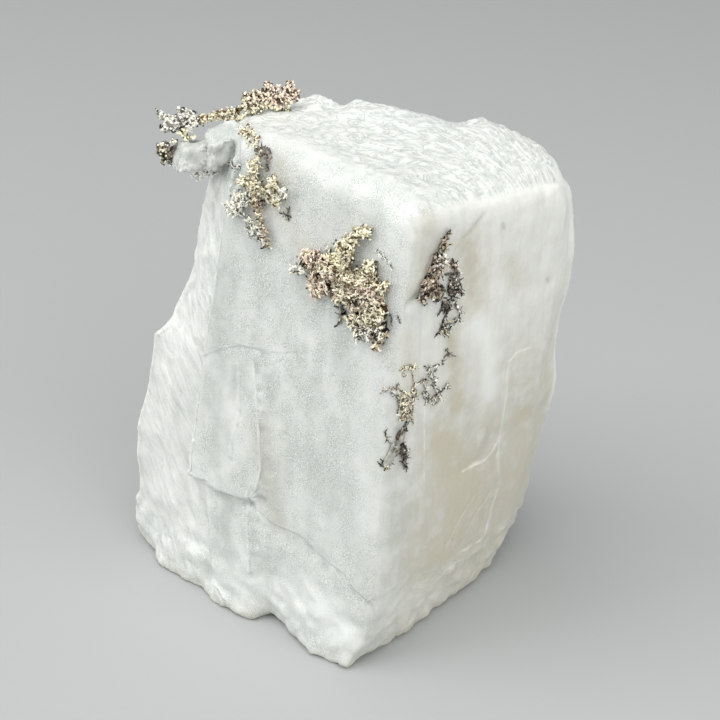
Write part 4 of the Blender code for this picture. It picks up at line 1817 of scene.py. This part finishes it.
STRAND_LEFT = (
    *twigs(
        Tarnish.GOLD, 0.1, 0.35, (249, 127, 246, 131, 243, 134), (241, 130, 246, 137, 250, 141),
        (244, 131, 250, 135), (254, 132, 255, 138, 258, 142),
        (260, 157, 256, 160, 252, 163, 250, 165), (261, 166, 257, 169, 253, 171, 253, 175),
        (252, 178, 246, 176, 243, 180, 240, 184), (250, 184, 245, 184),
        (266, 188, 270, 185, 273, 180, 274, 176),
    ),
    *twigs(
        Tarnish.BLACK, 0.05, 0.2, (255, 145, 258, 150, 262, 147, 265, 150, 262, 154, 258, 150),
        (262, 153, 267, 155, 269, 162, 267, 166, 269, 169), (270, 150, 271, 153),
    ),
    *twigs(
        Tarnish.OLIVE, 0.2, 0.45, (255, 175, 257, 178, 254, 183, 252, 186, 256, 190, 259, 192),
        (251, 186, 261, 186),
    ),
    *twigs(
        Tarnish.PALE, 0.12, 0.4, (251, 192, 244, 195, 240, 193, 236, 196),
        (252, 200, 245, 203, 240, 205, 233, 204, 229, 206), (240, 210, 234, 213, 231, 212),
        (240, 205, 241, 212), (262, 190, 266, 188), (266, 190, 268, 195, 270, 198),
        (277, 189, 283, 190, 286, 193, 283, 196, 278, 197),
    ),
    *twigs(
        Tarnish.GOLD, 0.14, 0.4, (272, 187, 276, 189, 275, 194, 274, 200, 277, 203),
        (258, 190, 264, 192, 272, 190),
    ),
    *twigs(
        Tarnish.BROWN, 0.1, 0.25,
        (255, 196, 257, 203, 258, 210, 259, 216, 262, 224, 263, 232, 264, 238, 266, 245),
        (262, 201, 262, 208), (258, 205, 258, 214),
    ),
    *twigs(
        Tarnish.GREY, 0.06, 0.2, (248, 215, 249, 220, 252, 225, 254, 228, 258, 226),
        (246, 227, 250, 230, 256, 235, 260, 240, 263, 242, 266, 246), (249, 233, 254, 236),
        (230, 162, 234, 166, 239, 167),
    ),
)

TWIG_SMALL = twigs(
    Tarnish.BLACK, 0.03, 0.1, (281, 213, 285, 214, 288, 214, 290, 207), (289, 214, 291, 217),
    (288, 214, 289, 220),
)

FERN_CENTRE = (
    *twigs(
        Tarnish.COPPER, 0.25, 0.5, (305, 255, 312, 253, 318, 254), (308, 260, 316, 260, 324, 262),
    ),
    *twigs(
        Tarnish.GREY, 0.1, 0.3, (294, 266, 300, 270, 307, 270, 313, 270), (297, 264, 299, 272),
        (337, 243, 339, 244), (327, 249, 331, 249, 330, 252),
    ),
    *twigs(
        Tarnish.BROWN, 0.15, 0.3, (311, 277, 317, 274, 316, 270),
        (378, 332, 383, 334, 384, 338, 380, 341), (378, 345, 376, 348),
    ),
    *twigs(
        Tarnish.PINK, 0.2, 0.5, (312, 280, 315, 287, 318, 294), (318, 281, 322, 285, 320, 290),
        (320, 275, 328, 275, 336, 276), (345, 285, 352, 287, 360, 286, 368, 290, 374, 293),
        (352, 303, 358, 305, 365, 300, 372, 298, 378, 300),
    ),
    *twigs(
        Tarnish.GOLD, 0.28, 0.7, (318, 265, 326, 268, 334, 270, 342, 266, 348, 258),
        (336, 276, 344, 275, 352, 278), (332, 255, 338, 256, 344, 260),
        (378, 275, 372, 278, 368, 284, 378, 283), (376, 286, 382, 288, 386, 288),
        (352, 270, 360, 278, 366, 284), (340, 262, 346, 268),
    ),
    *twigs(
        Tarnish.GOLD, 0.13, 0.6, (345, 258, 344, 250, 348, 242, 352, 236),
        (340, 247, 346, 244, 352, 246), (341, 256, 342, 249),
    ),
    *twigs(
        Tarnish.GOLD, 0.1, 0.6, (350, 238, 354, 233, 359, 230, 364, 229, 368, 230),
        (352, 240, 357, 241), (356, 236, 361, 236), (366, 227, 369, 233), (372, 262, 376, 268),
        (381, 296, 384, 304, 384, 312),
    ),
    *twigs(
        Tarnish.BLACK, 0.1, 0.5, (356, 312, 354, 322, 360, 330), (364, 330, 372, 326, 378, 320),
        (382, 330, 378, 342), (345, 292, 352, 300), (330, 262, 338, 262), (364, 296, 372, 304),
    ),
    *twigs(
        Tarnish.OLIVE, 0.1, 0.4, (365, 231, 366, 236), (370, 262, 368, 268, 366, 275, 370, 280),
        (364, 277, 368, 283), (362, 268, 362, 276, 368, 284), (345, 268, 352, 276),
    ),
    *twigs(
        Tarnish.CREAM, 0.24, 0.6, (362, 306, 368, 310, 372, 316, 376, 324),
        (372, 302, 376, 308, 378, 316), (338, 296, 344, 294, 350, 297, 358, 298),
        (354, 313, 358, 318, 364, 316, 370, 314), (352, 321, 358, 322, 364, 324, 370, 322),
        (345, 262, 350, 268), (336, 284, 346, 290),
    ),
    *twigs(
        Tarnish.BLACK, 0.03, 0.12, (326, 286, 330, 293, 336, 302, 338, 307),
        (342, 308, 341, 316, 340, 322), (342, 306, 346, 305, 350, 304), (378, 289, 384, 289),
        (380, 300, 382, 312, 381, 322), (356, 330, 360, 326, 366, 329),
    ),
    *twigs(
        Tarnish.PALE, 0.18, 0.4, (356, 330, 360, 335, 366, 337, 372, 334, 376, 330),
        (356, 326, 366, 330),
    ),
)

SLIVER = twigs(Tarnish.GREY, 0.05, 0.2, (378, 250, 382, 256, 386, 258, 390, 262, 392, 268))

FLECK = twigs(Tarnish.BLACK, 0.03, 0.1, (390, 314, 392, 318, 391, 324), (398, 316, 400, 322))

SPIKE_INNER = (
    *twigs(Tarnish.BROWN, 0.03, 0.15, (450, 230, 447, 233, 445, 238)),
    *twigs(
        Tarnish.BROWN, 0.11, 0.2, (446, 237, 443, 241, 440, 246), (446, 244, 443, 248, 441, 252),
        (437, 274, 436, 279, 436, 285), (420, 301, 424, 303),
    ),
    *twigs(
        Tarnish.BROWN, 0.13, 0.25, (437, 256, 434, 262, 430, 270, 425, 277), (433, 266, 430, 274),
        (440, 286, 442, 290, 438, 296, 434, 300), (438, 289, 435, 294), (423, 284, 421, 288),
        (434, 286, 431, 290, 430, 295),
    ),
    *twigs(Tarnish.COPPER, 0.1, 0.3, (436, 266, 431, 273, 427, 279), (425, 277, 422, 283)),
    *twigs(
        Tarnish.PINK, 0.1, 0.5, (437, 253, 441, 254, 445, 257), (436, 258, 441, 260, 445, 262),
        (438, 265, 441, 267, 439, 271), (432, 280, 428, 285, 423, 292),
        (433, 284, 429, 290, 424, 297), (430, 286, 425, 293, 420, 299),
    ),
    *twigs(
        Tarnish.WHITE, 0.08, 0.6, (418, 298, 420, 292, 423, 287), (440, 250, 438, 257),
        (436, 263, 440, 262, 443, 259), (430, 276, 425, 284),
    ),
)

SPIKE_OUTER = (
    *twigs(
        Tarnish.BLACK, 0.07, 0.25, (452, 259, 451, 263, 456, 265), (452, 266, 455, 270, 457, 273),
        (445, 274, 449, 273, 453, 274), (452, 278, 455, 282, 457, 286, 458, 291),
        (448, 286, 447, 291, 449, 295, 454, 296), (452, 284, 455, 288, 453, 292),
        (442, 301, 445, 306, 444, 311), (447, 300, 449, 306, 446, 311),
        (451, 299, 455, 303, 456, 307), (460, 290, 461, 293),
    ),
    *twigs(
        Tarnish.BLACK, 0.02, 0.15, (442, 302, 441, 308, 438, 314), (447, 311, 443, 319, 441, 325),
        (460, 284, 461, 288), (441, 327, 439, 331, 436, 334), (442, 326, 444, 333, 447, 335),
    ),
    *twigs(
        Tarnish.COPPER, 0.08, 0.45, (452, 262, 455, 265), (449, 280, 453, 281),
        (450, 288, 453, 293),
    ),
    *twigs(
        Tarnish.WHITE, 0.07, 0.5, (450, 277, 453, 279), (457, 277, 457, 281),
        (449, 283, 450, 287), (450, 294, 454, 292), (451, 300, 454, 300), (457, 306, 459, 312),
        (459, 315, 458, 320), (455, 318, 451, 323, 447, 328), (442, 326, 446, 324),
        (455, 268, 457, 271),
    ),
    *twigs(Tarnish.OLIVE, 0.07, 0.25, (441, 328, 444, 331, 446, 334), (440, 324, 444, 328)),
)

SPRIG = twigs(
    Tarnish.BLACK, 0.03, 0.15, (446, 349, 448, 353, 454, 356), (448, 353, 444, 357),
    (442, 361, 442, 364),
)

SPRAY = (
    *twigs(
        Tarnish.OLIVE, 0.05, 0.2, (400, 370, 404, 368), (403, 373, 405, 375),
        (409, 366, 417, 367), (404, 366, 411, 367), (414, 383, 412, 388),
        (403, 392, 408, 394, 413, 391), (415, 390, 416, 396),
    ),
    *twigs(
        Tarnish.BROWN, 0.02, 0.1, (411, 367, 412, 374, 413, 380), (391, 387, 396, 389, 398, 383),
        (398, 388, 401, 391), (412, 402, 413, 410, 411, 417, 409, 421), (411, 419, 413, 423),
        (398, 400, 399, 406, 397, 413),
    ),
    *twigs(
        Tarnish.BLACK, 0.02, 0.3, (406, 397, 407, 401), (412, 396, 413, 400),
        (402, 406, 402, 411), (407, 409, 407, 413), (397, 395, 398, 399),
    ),
    *twigs(
        Tarnish.PALE, 0.05, 0.2, (382, 391, 388, 389), (391, 392, 394, 396, 397, 399),
        (397, 397, 400, 400),
    ),
    *twigs(
        Tarnish.CREAM, 0.06, 0.35, (402, 396, 404, 402, 405, 408), (408, 395, 411, 400, 414, 397),
        (405, 400, 410, 403), (412, 388, 415, 393), (399, 401, 400, 407), (409, 408, 408, 414),
    ),
    *twigs(
        Tarnish.GOLD, 0.06, 0.35, (404, 404, 403, 410, 402, 415, 400, 419),
        (408, 404, 406, 411, 405, 416), (400, 394, 404, 398), (404, 417, 407, 420),
    ),
)

SPRAY_RIGHT = (
    *twigs(
        Tarnish.BLACK, 0.03, 0.2, (424, 366, 426, 367), (428, 372, 429, 374),
        (436, 370, 433, 372), (419, 382, 423, 379, 427, 380), (432, 383, 435, 380),
        (448, 385, 444, 388, 441, 391, 437, 393, 434, 396), (434, 399, 437, 401, 435, 404),
        (423, 398, 426, 400),
    ),
    *twigs(
        Tarnish.GREY, 0.07, 0.25, (430, 366, 427, 370), (428, 376, 432, 379, 434, 384),
        (424, 384, 426, 392), (428, 398, 432, 400), (430, 370, 434, 374), (422, 393, 425, 398),
    ),
    *twigs(
        Tarnish.PALE, 0.05, 0.25, (433, 366, 438, 364), (434, 388, 438, 390),
        (426, 402, 431, 403), (438, 396, 440, 400), (446, 384, 448, 387),
    ),
    *twigs(Tarnish.BROWN, 0.05, 0.2, (433, 397, 436, 400), (436, 394, 434, 398)),
)

FOOT = (
    *twigs(
        Tarnish.BLACK, 0.09, 0.25, (406, 422, 403, 427, 401, 431), (402, 428, 398, 433, 396, 438),
        (405, 426, 404, 430),
    ),
    *twigs(
        Tarnish.BLACK, 0.1, 0.2, (402, 442, 403, 450, 402, 455), (404, 445, 405, 452, 404, 460),
        (403, 458, 404, 464, 406, 468), (400, 449, 399, 453),
    ),
    *twigs(
        Tarnish.BLACK, 0.02, 0.12, (385, 431, 386, 437, 389, 442), (379, 463, 383, 466),
        (381, 459, 385, 463), (399, 444, 394, 455, 390, 464),
    ),
    *twigs(
        Tarnish.GREY, 0.3, 0.25, (401, 434, 398, 441, 395, 448, 391, 455, 387, 463), smooth=True,
    ),
    *twigs(Tarnish.GREY, 0.2, 0.2, (392, 445, 389, 453, 385, 461), smooth=True),
    *twigs(Tarnish.OLIVE, 0.08, 0.2, (390, 461, 387, 468), (384, 461, 386, 467)),
    *twigs(
        Tarnish.WHITE, 0.03, 0.35, (401, 434, 402, 436), (406, 448, 407, 450),
        (402, 461, 403, 463),
    ),
)

FERN_TOP = (
    *twigs(
        Tarnish.PALE, 0.25, 0.5, (160, 113, 166, 118, 172, 122), (163, 128, 170, 124, 178, 126),
        (181, 108, 183, 116, 184, 124), (176, 115, 178, 122), (188, 112, 188, 124),
        (193, 112, 192, 120, 188, 128), (198, 120, 188, 126), (170, 120, 184, 120),
    ),
    *twigs(
        Tarnish.OLIVE, 0.15, 0.4, (180, 131, 186, 137, 195, 136), (184, 128, 186, 137),
        (186, 137, 187, 141, 188, 145),
    ),
)

FERN_SIDE = (
    *twigs(Tarnish.CREAM, 0.12, 0.4, (163, 144, 162, 149, 166, 150), (172, 142, 177, 140)),
    *twigs(Tarnish.BLACK, 0.3, 0.3, (173, 147, 171, 153, 173, 160), (168, 153, 170, 158)),
    *twigs(Tarnish.WHITE, 0.06, 0.3, (166, 161, 170, 164, 175, 165), (166, 144, 171, 146)),
)

NUB = twigs(
    Tarnish.WHITE, 0.12, 0.3, (196, 174, 202, 170, 208, 175), (200, 172, 200, 178),
    (193, 161, 195, 167, 197, 173), (207, 173, 212, 172, 218, 173),
)

FERN_BACK = (
    *twigs(
        Tarnish.GOLD, 0.12, 0.35,
        (200, 122, 206, 120, 212, 117, 218, 118, 227, 118, 238, 118, 244, 116, 247, 112),
        (224, 114, 224, 118), (231, 112, 231, 118),
    ),
    *twigs(
        Tarnish.OLIVE, 0.2, 0.4, (247, 112, 260, 110, 270, 105, 280, 110, 292, 112, 298, 115),
        (250, 106, 262, 106),
    ),
    *twigs(Tarnish.COPPER, 0.2, 0.4, (270, 98, 276, 102, 282, 104)),
    *twigs(
        Tarnish.CREAM, 0.28, 0.5, (246, 95, 246, 105), (262, 90, 262, 98), (280, 96, 288, 104),
    ),
    *twigs(
        Tarnish.PINK, 0.28, 0.5, (253, 94, 254, 103), (268, 83, 268, 92, 270, 100),
        (275, 88, 275, 95), (289, 83, 288, 92, 286, 100), (294, 90, 296, 97), (260, 96, 266, 102),
        (280, 94, 284, 100),
    ),
)


def main() -> None:
    """Builds the studio, the calcite and the silver, in that order."""
    logging.basicConfig(level=logging.INFO, format="%(message)s")
    view = Viewpoint()
    Studio(view).build()
    block = CalciteBlock(view, CalciteFinish(), STROKES)
    skin = Surface.of(view, block.build())
    gold = SilverFinish("tarnished_silver_gold", 0.2)
    pale = SilverFinish("tarnished_silver_pale", 0.2)
    dark = SilverFinish("tarnished_silver_dark", 0.3)
    fine = Habit(0.09)
    tufts = Habit(0.09, cover=5.0, reach=2.0, deep=-0.4, aging=0.3)
    wiry = Habit(0.11, cover=9.0, deep=-0.6, aging=0.28)
    dense = Habit(0.125, cover=14.0, core=0.4, reach=2.7, deep=-0.42, aging=0.28)
    shreds = Habit(
        0.12, stretch=2.0, links=2, cover=4.0, reach=2.0, comb=1.6, flat=0.5, deep=-0.4, aging=0.5,
    )
    leafy = replace(shreds, grain=0.15, stretch=1.9, links=1, cover=7.0, deep=-0.35)
    beads = Habit(
        0.17, stretch=1.1, links=1, cover=14.0, core=0.4, reach=15.0, deep=-0.1, aging=0.3,
    )
    snow = replace(beads, deep=-0.5, aging=0.1)
    plans = (
        ("strand_left", "silver_gold", gold, skin, STRAND_LEFT, wiry),
        ("twig_small", "silver_dark", dark, skin, TWIG_SMALL, fine),
        ("fern_centre", "silver_gold", gold, skin, FERN_CENTRE, dense),
        ("sliver", "silver_pale", pale, skin, SLIVER, fine),
        ("fleck", "silver_dark", dark, skin, FLECK, fine),
        ("spike_inner", "silver_dark", dark, skin, SPIKE_INNER, leafy),
        ("spike_outer", "silver_dark", dark, skin, SPIKE_OUTER, shreds),
        ("spray", "silver_gold", gold, skin, SPRAY, tufts),
        ("spray_right", "silver_pale", pale, skin, SPRAY_RIGHT, tufts),
        ("sprig", "silver_dark", dark, skin, SPRIG, fine),
        ("foot", "silver_dark", dark, skin, FOOT, shreds),
        ("fern_top", "silver_pale", pale, Sheet(view, 3.9), FERN_TOP, beads),
        ("fern_side", "silver_pale", pale, Sheet(view, 3.3), FERN_SIDE, beads),
        ("nub", "silver_pale", pale, Sheet(view, 4.2), NUB, snow),
        ("fern_back", "silver_gold", gold, Sheet(view, 7.6, 0.137), FERN_BACK, beads),
    )
    for seed, (name, slot, finish, carrier, routes, habit) in enumerate(plans, 11):
        SilverFern(name, slot, finish, skin, carrier, routes, habit, seed).build()


if __name__ == "__main__":
    main()
